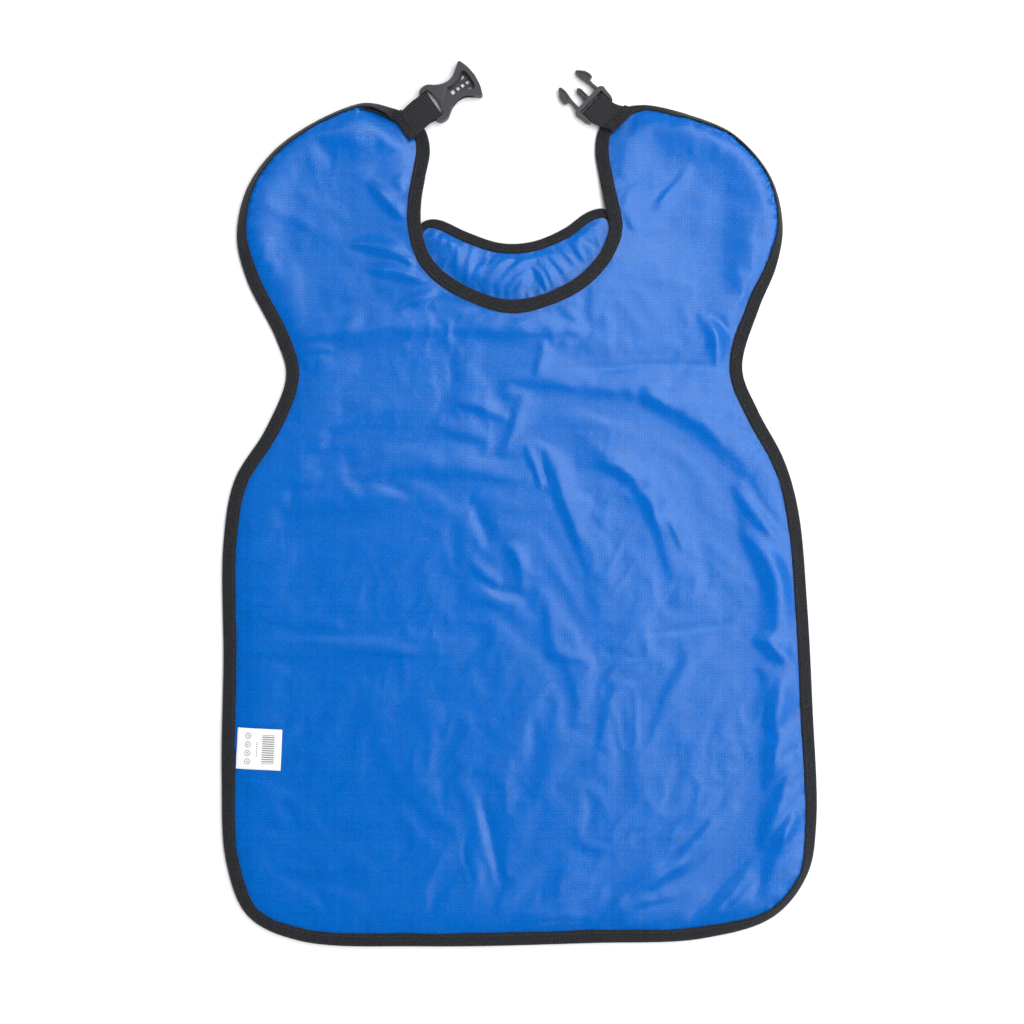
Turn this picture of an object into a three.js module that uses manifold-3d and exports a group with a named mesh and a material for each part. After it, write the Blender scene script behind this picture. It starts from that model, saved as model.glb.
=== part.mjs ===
// Lead x-ray apron with a neck collar, lying flat: a padded panel bound all round with tape, a crescent
// collar under the neckline, two webbing straps that carry a side-release buckle, and a sewn-in label.
// Millimetres, +Z up. The apron lies on z = 0 with its neckline towards +Y.
import * as THREE from "three";
import { mergeVertices } from "three/addons/utils/BufferGeometryUtils.js";
import Module from "manifold-3d";

const wasm = await Module();
wasm.setup();

// Driving sizes
const GAP = 0.3; // between sewn layers
const TAPE = 0.8; // thickness of the binding tape
const BINDING_WIDTH = 12; // edge binding, on each face
const COLLAR_BINDING_WIDTH = 9;
const MARGIN = 1.8; // thickness of the panel where it is sewn into the binding
const PANEL = 3.2; // thickness of the padded panel away from its edges
const PUFF = 1.5; // how far the cover stands up beside the binding
const PUFF_REACH = 16; // distance from the binding to the top of that swell
const BINDING_HEIGHT = 2 * (TAPE + GAP) + MARGIN;
const SEAM_ALLOWANCE = 1.5; // flat strip of panel that shows beside the binding
const FLAT_FALL = 18; // distance over which a flat edge comes down to the floor
const ROLL_FALL = 62; // the same for an edge that is turned down
const STEPS_PER_ROW = 3; // stations between two rows of an edge table
const COVER_SPACING = 16; // net of points on the cover, and on the lining
const LINING_SPACING = 34;
const CLEAR_OF_LOOP = 0.55; // nearest that a net's point comes to its loop, in spacings
const UNEVEN = 0.02; // keeps four points of a net off one circle
const COLLAR_TUCK = 7; // how far the collar reaches under the neck binding
const COLLAR_FALL = 12; // distance from the neck binding over which the collar puffs up
const COLLAR_STACK = 3.3; // height of the neck binding above the floor, over the collar
const WEBBING_WIDTH = 25.4;
const WEBBING = 1.5; // thickness of one layer
const BUCKLE_HEIGHT = 8.4;
const BAR_RADIUS = 2.2; // bar in each buckle half that the webbing goes round
const BUCKLE_WALL = 1.8; // plates of the socket, above and below the prongs
const BUCKLE_CHAMFER = 0.7;
const SLOT_HALF = 13.2; // half width of the slot for the webbing
const SLOT_FRONT = 4.8; // front of that slot in the socket at its ends, from the bar
const SLOT_BOW = 1.9; // how much further forward it goes in the middle
const MOUTH_HALF = 14.6; // half width of the space for the prongs
const MOUTH_REAR = 16; // its rear end, from the bar
const BEYOND = 60; // reach of a cut that leaves a buckle half
const PRONG_HEIGHT = 4.2;
const STRAP_HELD = 8.5; // length behind the bar that the buckle keeps straight
const STRAP_EASE = 0.6; // how slowly the webbing leaves its sewn end, as a part of the way to the bar
const EYE_START = 0.7; // where its layers part, and how slowly they do
const EYE_EASE = 0.5;
const LABEL = 0.5; // thickness of the sewn-in label
const LABEL_WIDTH = 40.2;
const LABEL_LENGTH = 36.8;
const LABEL_TURN = -2.8; // degrees
const LABEL_CELLS = 6;
const LABEL_AT = { x: -233.6, y: -219.4 };
const LABEL_CLEAR = 0.45; // between the cover and the label
const COLLAR_SLANT = 3; // extra margin of the collar, because its sections meet the top edge at a slant
const COLLAR_FULL = 22; // length of a section that puffs up fully

// Turns lines of numbers into rows with named columns.
function table(columns, ...lines) {
  const names = columns.split(" ");
  return lines.map((line) => Object.fromEntries(names.map((name, i) => [name, line[i]])));
}

// Edge of the apron, anticlockwise: roll is how far the edge is turned down, in degrees, and lift is its
// height above the floor.
const OUTER_EDGE = table(
  "spot x y roll lift",
  ["left tip", -98, 350.5, 4, 0],
  ["left tip back", -118, 358, 11, 0],
  ["left ridge", -130, 360.9, 32, 0],
  ["left top", -143, 361, 60, 0],
  ["left top fall", -181, 346, 62, 0],
  ["left shoulder up", -221, 318.5, 58, 0],
  ["left shoulder", -246, 283, 52, 0],
  ["left shoulder out", -254.6, 241, 32, 0],
  ["left arm", -245.5, 202, 8, 0],
  ["left arm low", -218.5, 148, 0, 0],
  ["left waist", -209.7, 116, 0, 0],
  ["left waist low", -228, 68, 0, 0],
  ["left hip up", -256, 22, 0, 0],
  ["left hip", -266, -35, 0, 0],
  ["left side", -266, -140, 0, 0],
  ["left side low", -267.6, -243, 0, 0],
  ["left corner up", -263.5, -322, 5, 0],
  ["left corner", -244, -370, 10, 0],
  ["left corner end", -198, -392, 5, 0],
  ["hem left", -85, -397, 0, 0],
  ["hem right", 65, -394, 0, 0],
  ["right corner end", 165, -390, 10, 0],
  ["right corner", 229, -370.5, 38, 0],
  ["right corner up", 259.5, -332, 42, 0],
  ["right side low", 267.2, -285, 20, 0],
  ["right side", 263.5, -180, 10, 0],
  ["right side up", 259, -92, 15, 0],
  ["right hip", 251, -6, 15, 0],
  ["right hip up", 238, 40, 12, 0],
  ["right waist low", 214, 85, 0, 0],
  ["right waist", 200.3, 122, 4, 0],
  ["right arm low", 215, 175, 6, 0],
  ["right arm", 231.5, 214, 30, 0],
  ["right shoulder out", 237.2, 250, 60, 0],
  ["right shoulder", 226.5, 294, 68, 0],
  ["right shoulder up", 193, 333, 68, 0],
  ["right top fall", 150, 351.5, 66, 0],
  ["right top", 120, 358.4, 56, 0],
  ["right ridge", 109, 359, 34, 0],
  ["right tip back", 97, 357.3, 8, 0],
);
const NECK_EDGE = table(
  "spot x y roll lift",
  ["right tip", 80, 349, 3, 0],
  ["right neck top", 70.5, 335, 0, 0],
  ["right neck pinch", 68, 317, 0, 0],
  ["right neck", 71.5, 294, 0, 1.2],
  ["right collar end", 75.8, 271, 0, COLLAR_STACK],
  ["right neck wide", 80.3, 248, 0, COLLAR_STACK],
  ["right scoop", 70.5, 223.5, 0, COLLAR_STACK],
  ["right scoop low", 44, 199, 0, COLLAR_STACK],
  ["scoop", -6.5, 183.6, 0, COLLAR_STACK],
  ["left scoop low", -54.9, 200, 0, COLLAR_STACK],
  ["left scoop", -79.5, 222.3, 0, COLLAR_STACK],
  ["left neck wide", -88, 250, 0, COLLAR_STACK],
  ["left collar end", -88, 271, 0, COLLAR_STACK],
  ["left neck", -84.5, 294, 0, 1.2],
  ["left neck pinch", -80.5, 318, 0, 0],
  ["left neck top", -84.5, 336, 0, 0],
);
const COLLAR_TOP = table(
  "spot x y",
  ["right end", 87, 267],
  ["right rise", 68, 264.5],
  ["right bend", 40, 248],
  ["middle right", 12, 236.3],
  ["middle left", -16, 234.8],
  ["left bend", -47, 244.8],
  ["left rise", -72, 255.5],
  ["left end", -94, 257],
);
const COLLAR_CROWN = table("part rise", [0.2, 1.6], [0.5, 2.6], [0.8, 1.6]);
const COLLAR_LOW_END = 238; // height up the neckline where the collar's lower edge ends

// Strap units: where the buckle's bar lies and the way it points. From there the webbing runs back to its
// sewn end, by its reach, with a shift to the side and a lean. At that end it lies on the cover, over a length
// and at a height.
const STRAPS = table(
  "name x y turn reach shift lean sewn seat",
  ["left", -79.3, 357.2, 34.5, 32.4, -1.4, -0.2, 20, 5.1],
  ["right", 67.3, 357.4, 136, 27.6, -7.4, 0.06, 16, 5.4],
);

// Half outlines of the buckle, from its bar: x towards the front, y the half width.
const SOCKET_SIDE = table(
  "spot x y",
  ["rear", -3, 14],
  ["rear corner", -0.8, 16.2],
  ["ear", 6, 17.6],
  ["ear front", 13, 16.4],
  ["waist rear", 19, 12.2],
  ["waist", 25.5, 9.4],
  ["waist front", 31, 10.4],
  ["flare", 36.5, 14.4],
  ["front corner", 41.5, 18.4],
);
const SOCKET_FRONT = table("spot x y", ["corner", 43.6, 18.2], ["side", 46.4, 10], ["middle", 47.6, 0]);
const SOCKET_WINDOW = table(
  "spot x y",
  ["narrow end", 20.5, 4.6],
  ["neck", 27, 4],
  ["widening", 33, 5.4],
  ["corner", 41, 9.4],
  ["front", 43.2, 5],
);
const SOCKET_HOLES = table("x y half", [24, 0, 2], [29.6, 0, 1.6], [34.6, 0, 1.6], [39.6, 0, 1.6]);
const SOCKET_NICK = { x: 38.4, y: 6.4, half: 1.7 };
const PLUG_SIDE = table(
  "spot x y",
  ["rear", -8.5, 14.2],
  ["ear", -5, 15.9],
  ["middle", 1, 16.6],
  ["flare", 6.5, 17.2],
  ["front corner", 9, 14.8],
);
const PLUG_REAR = 5; // rear of the plate that carries the prongs
const PRONG = table(
  "spot x y",
  ["stem outside", 8, 13.9],
  ["stem bend", 15, 13.2],
  ["barb root", 19.6, 13.4],
  ["barb", 20.2, 16.6],
  ["cheek", 26, 15.9],
  ["tip outside", 33, 12.2],
  ["tip", 34.2, 10.9],
  ["tip inside", 32.6, 9.9],
  ["head inside", 25, 10.6],
  ["stem inside bend", 15, 10.6],
  ["stem inside", 8, 11],
);
const GUIDE = { half: 2.3, tip: 22 };

// Folds of the cover: a ridge of that height and half width along a bowed line, or a groove if it is negative.
const FOLDS = table(
  "spot x0 y0 x1 y1 bow height width",
  ["under the collar", -198, 141, 60, 152, 4, -2.2, 9],
  ["below it", -150, 128, 90, 138, 3, 1.8, 12],
  ["right chest", 0, 106, 202, 42, 22, -3, 16],
  ["right chest ridge", 10, 124, 214, 60, 22, 2.4, 14],
  ["right belly", 56, 32, 136, -62, 18, -3, 12],
  ["right belly ridge", 74, 36, 154, -58, 18, 2.2, 12],
  ["middle belly", 5, 56, 60, -62, 10, -2.6, 10],
  ["middle ridge", 20, 60, 76, -56, 10, 2, 11],
  ["right side groove", 202, -30, 226, -246, 14, -3.4, 12],
  ["right side ridge", 222, -34, 246, -240, 12, 2.6, 11],
  ["corner fold", 72, -370, 148, -312, 8, 3.2, 11],
  ["corner groove", 88, -374, 168, -318, 8, -2.6, 10],
  ["corner fold out", 154, -374, 210, -314, 6, 3, 10],
  ["corner fold up", 212, -304, 244, -238, 5, 2.8, 10],
  ["left shoulder wave", -226, 262, -130, 212, -10, -3, 16],
  ["left shoulder ridge", -222, 286, -122, 240, -10, 2.6, 16],
  ["left shoulder top", -178, 326, -110, 316, 6, -2.6, 13],
  ["left neck pleat", -128, 288, -98, 256, 0, 2.6, 7],
  ["right shoulder fold", 112, 264, 152, 306, 4, -3, 11],
  ["right shoulder ridge", 122, 254, 168, 300, 4, 2.4, 11],
  ["right shoulder groove", 194, 292, 186, 180, -6, -3, 16],
);

// A fold's height at a point: a bell across the line, fading out at both ends.
function foldHeight(fold, x, y) {
  const along = new THREE.Vector2(fold.x1 - fold.x0, fold.y1 - fold.y0);
  const length = along.length();
  along.divideScalar(length);
  const s = ((x - fold.x0) * along.x + (y - fold.y0) * along.y) / length;
  if (s <= 0 || s >= 1) return 0;
  const ends = 4 * s * (1 - s);
  const aside = (y - fold.y0) * along.x - (x - fold.x0) * along.y - fold.bow * ends;
  return fold.height * Math.sqrt(ends) * Math.exp(-((aside / fold.width) ** 2));
}

const folds = (x, y) => FOLDS.reduce((sum, fold) => sum + foldHeight(fold, x, y), 0);

// Falls smoothly from 1 at the start of a stretch to 0 at its end.
function fall(distance, reach) {
  const t = Math.min(distance / reach, 1);
  return (1 - t) ** 2 * (1 + 2 * t);
}

// Swell beside the binding: 0 at the seam, 1 at PUFF_REACH, then dying away.
const swell = (distance) => (distance / PUFF_REACH) * Math.exp(1 - distance / PUFF_REACH);

// Stations along a smooth edge through the rows of a table, each with its inward direction.
function stationsAlong(rows, closed) {
  const points = rows.map((row) => new THREE.Vector3(row.x, row.y, 0));
  const curve = new THREE.CatmullRomCurve3(points, closed, "centripetal");
  const spans = closed ? rows.length : rows.length - 1;
  const count = spans * STEPS_PER_ROW + (closed ? 0 : 1);
  return Array.from({ length: count }, (_, i) => {
    const t = i / (spans * STEPS_PER_ROW);
    const part = (i % STEPS_PER_ROW) / STEPS_PER_ROW;
    const row = rows[Math.floor(i / STEPS_PER_ROW) % rows.length];
    const next = rows[(Math.floor(i / STEPS_PER_ROW) + 1) % rows.length];
    const between = (name) => THREE.MathUtils.lerp(row[name] ?? 0, next[name] ?? 0, part);
    const tangent = curve.getTangent(t);
    return {
      at: curve.getPoint(t),
      tangent,
      inward: new THREE.Vector3(-tangent.y, tangent.x, 0),
      roll: THREE.MathUtils.degToRad(between("roll")),
      lift: between("lift"),
    };
  });
}

// A point of a section across the edge, measured into the cloth from its edge, and up from its underside. Where
// the edge is turned down, the section leans with it, and its upper face stays on the outline.
function across(station, into, up) {
  const { at, inward, roll, lift } = station;
  const plan = into * Math.cos(roll) + (BINDING_HEIGHT - up) * Math.sin(roll);
  const z = lift + into * Math.sin(roll) + up * Math.cos(roll);
  return at.clone().addScaledVector(inward, plan).setZ(z);
}

// Geometry from points and triangles.
function meshOf(points, triangles) {
  const geometry = new THREE.BufferGeometry().setFromPoints(points);
  geometry.setIndex(triangles.flat());
  geometry.computeVertexNormals();
  return geometry;
}

// Two triangles for each side between two rows of point numbers.
const band = (low, high, i, j) => [
  [low[i], low[j], high[j]],
  [low[i], high[j], high[i]],
];

// A closed skin through sections of equal length, with its two ends capped from their flat outlines.
function loft(sections, firstOutline, lastOutline = firstOutline) {
  const sides = firstOutline.length;
  const ring = sections.map((_, i) => firstOutline.map((__, k) => i * sides + k));
  const triangles = [];
  for (let i = 0; i + 1 < ring.length; i++)
    for (let k = 0; k < sides; k++) triangles.push(...band(ring[i], ring[i + 1], k, (k + 1) % sides));
  const [first, last] = [ring[0], ring[ring.length - 1]];
  for (const [a, b, c] of THREE.ShapeUtils.triangulateShape(firstOutline, []))
    triangles.push([first[c], first[b], first[a]]);
  for (const [a, b, c] of THREE.ShapeUtils.triangulateShape(lastOutline, []))
    triangles.push([last[a], last[b], last[c]]);
  return meshOf(sections.flat(), triangles);
}

// Folded tape around an edge: two flanges of the given width, joined by a rounded fold.
function bindingProfile(width) {
  const top = BINDING_HEIGHT;
  const fold = TAPE * 1.2;
  return [
    [width, top - TAPE],
    [width, top],
    [fold, top],
    [0, top - fold],
    [0, fold],
    [fold, 0],
    [width, 0],
    [width, TAPE],
    [TAPE, TAPE],
    [TAPE, top - TAPE],
  ].map(([into, up]) => new THREE.Vector2(into, up));
}

function binding(stations, width) {
  const profile = bindingProfile(width);
  return loft(
    stations.map((station) => profile.map(({ x, y }) => across(station, x, y))),
    profile,
  );
}

// A station moved a little along its edge, so that two bindings end to end keep a gap.
const moved = (station, by) => ({ ...station, at: station.at.clone().addScaledVector(station.tangent, by) });

// Delaunay triangles of points in the plane, added one at a time.
function delaunay(points) {
  const far = 5e4;
  const all = [...points, { x: -far, y: -far }, { x: far, y: -far }, { x: 0, y: far }];
  const circled = (a, b, c) => {
    const [p, q, r] = [all[a], all[b], all[c]];
    const cross = 2 * ((q.x - p.x) * (r.y - p.y) - (q.y - p.y) * (r.x - p.x));
    const qq = (q.x - p.x) ** 2 + (q.y - p.y) ** 2;
    const rr = (r.x - p.x) ** 2 + (r.y - p.y) ** 2;
    const x = ((r.y - p.y) * qq - (q.y - p.y) * rr) / cross;
    const y = ((q.x - p.x) * rr - (r.x - p.x) * qq) / cross;
    return { corners: [a, b, c], x: p.x + x, y: p.y + y, square: x * x + y * y };
  };
  const n = points.length;
  let triangles = [circled(n, n + 1, n + 2)];
  points.forEach((point, i) => {
    const hit = triangles.filter((t) => (point.x - t.x) ** 2 + (point.y - t.y) ** 2 < t.square);
    const edges = hit.flatMap(({ corners: [a, b, c] }) => [[a, b], [b, c], [c, a]]);
    const seen = new Set(edges.map(([a, b]) => a + " " + b));
    const rim = edges.filter(([a, b]) => !seen.has(b + " " + a));
    const gone = new Set(hit);
    triangles = triangles.filter((t) => !gone.has(t));
    for (const [a, b] of rim) triangles.push(circled(a, b, i));
  });
  return triangles.map((t) => t.corners).filter((corners) => corners.every((k) => k < n));
}

function insideLoop(loop, x, y) {
  let inside = false;
  loop.forEach((p, i) => {
    const q = loop[(i + 1) % loop.length];
    if (p.y > y !== q.y > y && x < p.x + ((q.x - p.x) * (y - p.y)) / (q.y - p.y)) inside = !inside;
  });
  return inside;
}

// Nearest place on a loop of points: its distance, its height, and the roll of the edge there.
function nearest(loop, rolls, x, y) {
  let best = { distance: Infinity };
  loop.forEach((p, i) => {
    const j = (i + 1) % loop.length;
    const q = loop[j];
    const [dx, dy] = [q.x - p.x, q.y - p.y];
    const t = THREE.MathUtils.clamp(((x - p.x) * dx + (y - p.y) * dy) / (dx * dx + dy * dy), 0, 1);
    const distance = Math.hypot(x - p.x - t * dx, y - p.y - t * dy);
    if (distance < best.distance)
      best = {
        distance,
        z: THREE.MathUtils.lerp(p.z, q.z, t),
        roll: THREE.MathUtils.lerp(rolls[i], rolls[j], t),
      };
  });
  return best;
}

const fallReach = (roll) => FLAT_FALL + ROLL_FALL * Math.sin(roll);

// Height of a panel's cover above the floor, and of its lining, inside the loop where the seam ends.
function coverHeight(loop, rolls, relief, x, y) {
  const { distance, z, roll } = nearest(loop, rolls, x, y);
  const seam = (z - PANEL) * fall(distance, fallReach(roll));
  return PANEL + seam + PUFF * swell(distance) + relief(x, y) * (1 - fall(distance, FLAT_FALL));
}

function liningHeight(loop, rolls, x, y) {
  const { distance, z, roll } = nearest(loop, rolls, x, y);
  return z * fall(distance, fallReach(roll));
}

// Fills a loop with an even net of points and triangulates it. The loop's points come first.
function net(loop, spacing, height) {
  const flat = new THREE.Box2().setFromPoints(loop.map((p) => new THREE.Vector2(p.x, p.y)));
  const rowStep = (spacing * Math.sqrt(3)) / 2;
  const points = loop.map((p) => p.clone());
  const still = loop.map(() => 0);
  for (let row = 0; flat.min.y + row * rowStep < flat.max.y; row++)
    for (let k = 0; flat.min.x + k * spacing < flat.max.x; k++) {
      const x = flat.min.x + (k + (row % 2) / 2) * spacing + UNEVEN * Math.sin(7 * k + row);
      const y = flat.min.y + row * rowStep + UNEVEN * Math.sin(5 * row + 3 * k);
      const distance = nearest(loop, still, x, y).distance;
      if (!insideLoop(loop, x, y) || distance < CLEAR_OF_LOOP * spacing) continue;
      points.push(new THREE.Vector3(x, y, height(x, y)));
    }
  const middle = (corners, axis) => corners.reduce((sum, k) => sum + points[k][axis], 0) / 3;
  const triangles = delaunay(points).filter((t) => insideLoop(loop, middle(t, "x"), middle(t, "y")));
  return { points, triangles };
}

// A padded panel: a sewn margin of even thickness, then a cover and a lining with their own heights.
function paddedPanel(stations, margin, relief) {
  const low = TAPE + GAP;
  const edge = TAPE + GAP;
  const rolls = stations.map((station) => station.roll);
  const coverLoop = stations.map((station) => across(station, margin, low + MARGIN));
  const liningLoop = stations.map((station) => across(station, margin, low));
  const cover = net(coverLoop, COVER_SPACING, (x, y) => coverHeight(coverLoop, rolls, relief, x, y));
  const lining = net(liningLoop, LINING_SPACING, (x, y) => liningHeight(liningLoop, rolls, x, y));
  const points = [...cover.points, ...lining.points];
  const shift = cover.points.length;
  const under = lining.triangles.map(([a, b, c]) => [c + shift, b + shift, a + shift]);
  const triangles = [...cover.triangles, ...under];
  const rings = [
    stations.map((_, i) => i + shift),
    stations.map((station) => points.push(across(station, edge, low)) - 1),
    stations.map((station) => points.push(across(station, edge, low + MARGIN)) - 1),
    stations.map((_, i) => i),
  ];
  for (let k = 0; k + 1 < rings.length; k++)
    stations.forEach((_, i) => triangles.push(...band(rings[k], rings[k + 1], i, (i + 1) % stations.length)));
  return meshOf(points, triangles);
}

// Closed meshes as solids that can be joined and cut, and back.
function solid(geometry) {
  const bare = geometry.clone();
  for (const name of ["normal", "uv"]) bare.deleteAttribute(name);
  const merged = mergeVertices(bare, 1e-4);
  return new wasm.Manifold(
    new wasm.Mesh({
      numProp: 3,
      vertProperties: merged.attributes.position.array,
      triVerts: new Uint32Array(merged.index.array),
    }),
  );
}

function geometryOf(made) {
  const { vertProperties, triVerts } = made.getMesh();
  const geometry = new THREE.BufferGeometry();
  geometry.setAttribute("position", new THREE.BufferAttribute(vertProperties, 3));
  geometry.setIndex(new THREE.BufferAttribute(triVerts, 1));
  geometry.computeVertexNormals();
  return geometry;
}

// A flat outline raised from one height to another, with its edges eased by a small chamfer.
function raised(shape, from, to, chamfer = 0, curveSegments = 6) {
  const geometry = new THREE.ExtrudeGeometry(shape, {
    depth: to - from - 2 * chamfer,
    bevelEnabled: chamfer > 0,
    bevelSize: chamfer,
    bevelThickness: chamfer,
    bevelOffset: -chamfer,
    bevelSegments: 1,
    curveSegments,
  });
  return solid(geometry.translate(0, 0, from + chamfer));
}

function rectangle(x0, y0, x1, y1) {
  return new THREE.Shape([
    new THREE.Vector2(x0, y0),
    new THREE.Vector2(x1, y0),
    new THREE.Vector2(x1, y1),
    new THREE.Vector2(x0, y1),
  ]);
}

// Materials
const cloth = new THREE.MeshStandardMaterial({ color: 0x1f62c8, roughness: 0.55 });
const tape = new THREE.MeshStandardMaterial({ color: 0x1b1c20, roughness: 0.85 });
const webbing = new THREE.MeshStandardMaterial({ color: 0x202226, roughness: 0.75 });
const plastic = new THREE.MeshStandardMaterial({ color: 0x26282b, roughness: 0.45 });
const satin = new THREE.MeshStandardMaterial({ color: 0xf2f2f0, roughness: 0.6 });

const apron = new THREE.Group();

function add(name, geometry, material, parent = apron) {
  const mesh = new THREE.Mesh(geometry, material);
  mesh.name = name;
  parent.add(mesh);
  return mesh;
}

// Panel and its binding, whose two lengths of tape meet under the straps
const edgeStations = stationsAlong([...OUTER_EDGE, ...NECK_EDGE], true);
const neckStart = OUTER_EDGE.length * STEPS_PER_ROW;
const panelMargin = BINDING_WIDTH + SEAM_ALLOWANCE;
const panelLoop = edgeStations.map((station) => across(station, panelMargin, TAPE + GAP + MARGIN));
const panelRolls = edgeStations.map((station) => station.roll);
const panelTop = (x, y) => coverHeight(panelLoop, panelRolls, folds, x, y);

add("apron_panel", paddedPanel(edgeStations, panelMargin, folds), cloth);
const outerStations = edgeStations.slice(0, neckStart + 1);
const neckStations = [...edgeStations.slice(neckStart), edgeStations[0]];
for (const [name, stations] of [["outer_binding", outerStations], ["neck_binding", neckStations]]) {
  const tapeStations = [...stations];
  tapeStations[0] = moved(stations[0], GAP / 2);
  tapeStations[stations.length - 1] = moved(stations[stations.length - 1], -GAP / 2);
  add(name, binding(tapeStations, BINDING_WIDTH), tape);
}

// Collar: sections from its tucked lower edge up to its bound top edge, from the left end to the right
const inNeck = neckStations.filter((station) => station.at.y < COLLAR_LOW_END).reverse();
const lowEdge = new THREE.CatmullRomCurve3(
  inNeck.map((station) => station.at.clone().addScaledVector(station.inward, COLLAR_TUCK)),
);
const topStations = stationsAlong(COLLAR_TOP, false);
const topEdge = new THREE.CatmullRomCurve3(topStations.map((station) => station.at).reverse());

// How fully the collar may puff up at a place: not at all under the neck binding, fully some way inside it.
const neckLoop = neckStations.map((station) => station.at);
function clearOfNeck({ x, y }) {
  if (!insideLoop(neckLoop, x, y)) return 0;
  const distance = nearest(neckLoop, neckLoop.map(() => 0), x, y).distance - SEAM_ALLOWANCE;
  return 1 - fall(Math.max(distance, 0), COLLAR_FALL);
}

// One section of the collar as distances along it and heights: a flat margin, a puffed middle, a flat margin.
function collarOutline(origin, way, length) {
  const low = TAPE + GAP;
  const high = low + MARGIN;
  const start = COLLAR_TUCK + SEAM_ALLOWANCE;
  const end = length - COLLAR_BINDING_WIDTH - COLLAR_SLANT;
  const top = length - 2 * GAP - TAPE;
  const room = THREE.MathUtils.clamp((end - start) / COLLAR_FULL, 0, 1);
  const crown = COLLAR_CROWN.map(({ part, rise }) => {
    const at = start + part * (end - start);
    return [at, high + rise * room * clearOfNeck(origin.clone().addScaledVector(way, at))];
  });
  return [
    [0, high],
    [0, low],
    [start, low],
    [(start + end) / 2, low * (1 - room)],
    [end, low],
    [top, low],
    [top, high],
    [end, high],
    ...crown.reverse(),
    [start, high],
  ].map(([at, z]) => new THREE.Vector2(at, z));
}

const collarEnds = [];
const collarSections = topStations.map((_, i) => {
  const part = i / (topStations.length - 1);
  const low = lowEdge.getPointAt(part);
  const way = topEdge.getPoint(part).sub(low);
  const length = way.length();
  way.divideScalar(length);
  const outline = collarOutline(low, way, length);
  collarEnds.push(outline);
  return outline.map((point) => low.clone().addScaledVector(way, point.x).setZ(point.y));
});
add("collar_panel", loft(collarSections, collarEnds[0], collarEnds[collarEnds.length - 1]), cloth);

// Its tape ends at the neck binding, so it is cut to the neck opening
const neckHole = new THREE.Shape(
  neckStations.map(({ at, inward }) => new THREE.Vector2(at.x - GAP * inward.x, at.y - GAP * inward.y)),
);
const collarTape = solid(binding(topStations, COLLAR_BINDING_WIDTH));
add("collar_binding", geometryOf(collarTape.intersect(raised(neckHole, -1, 3 * BINDING_HEIGHT))), tape);

// Straps and buckle halves, each pair in a group whose x axis runs from the bar to the front of the buckle
const barHeight = BUCKLE_HEIGHT / 2;

// Webbing from the side: two layers sewn together on the shoulder, which open round the bar.
function webbingSide({ reach, sewn, seat }) {
  const outside = BAR_RADIUS + GAP + WEBBING;
  const inside = BAR_RADIUS + GAP;
  const under = seat + GAP;
  const split = under + WEBBING;
  const top = split + WEBBING;
  const end = sewn - reach;
  const apex = end * EYE_START;
  const side = new THREE.Shape();
  side.moveTo(-reach, top);
  side.lineTo(-reach, under);
  side.lineTo(end, under);
  side.bezierCurveTo(end * STRAP_EASE, under, -outside, barHeight - outside, 0, barHeight - outside);
  side.absarc(0, barHeight, outside, -Math.PI / 2, Math.PI / 2, false);
  side.bezierCurveTo(-outside, barHeight + outside, end * STRAP_EASE, top, end, top);
  const eye = new THREE.Path();
  eye.moveTo(apex, split);
  eye.bezierCurveTo(apex * EYE_EASE, split, -inside, barHeight - inside, 0, barHeight - inside);
  eye.absarc(0, barHeight, inside, -Math.PI / 2, Math.PI / 2, false);
  eye.bezierCurveTo(-inside, barHeight + inside, apex * EYE_EASE, split, apex, split);
  side.holes.push(eye);
  return side;
}

function strap(unit) {
  const { reach, shift, lean } = unit;
  const geometry = new THREE.ExtrudeGeometry(webbingSide(unit), {
    depth: WEBBING_WIDTH,
    bevelEnabled: false,
    curveSegments: 7,
  });
  geometry.rotateX(Math.PI / 2).translate(0, WEBBING_WIDTH / 2, 0);
  const place = geometry.attributes.position;
  for (let i = 0; i < place.count; i++) {
    const t = THREE.MathUtils.clamp((-place.getX(i) - STRAP_HELD) / (reach - STRAP_HELD), 0, 1);
    const aside = shift * (3 * t ** 2 - 2 * t ** 3) - lean * reach * (t ** 3 - t ** 2);
    place.setY(i, place.getY(i) + aside);
  }
  return geometryOf(solid(geometry));
}

// An outline that is the same on both sides of the x axis, from smooth runs of half widths.
function mirrored(...runs) {
  const half = runs.flatMap((rows) => {
    const curve = new THREE.SplineCurve(rows.map((row) => new THREE.Vector2(row.x, row.y)));
    return curve.getPoints(2 * (rows.length - 1));
  });
  const other = half.filter((point) => point.y > 0).map((point) => new THREE.Vector2(point.x, -point.y));
  return new THREE.Shape([...half, ...other.reverse()]);
}

function bar() {
  const round = new THREE.CylinderGeometry(BAR_RADIUS, BAR_RADIUS, 2 * SLOT_HALF + 1, 12);
  return solid(round.translate(0, 0, barHeight));
}

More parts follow.
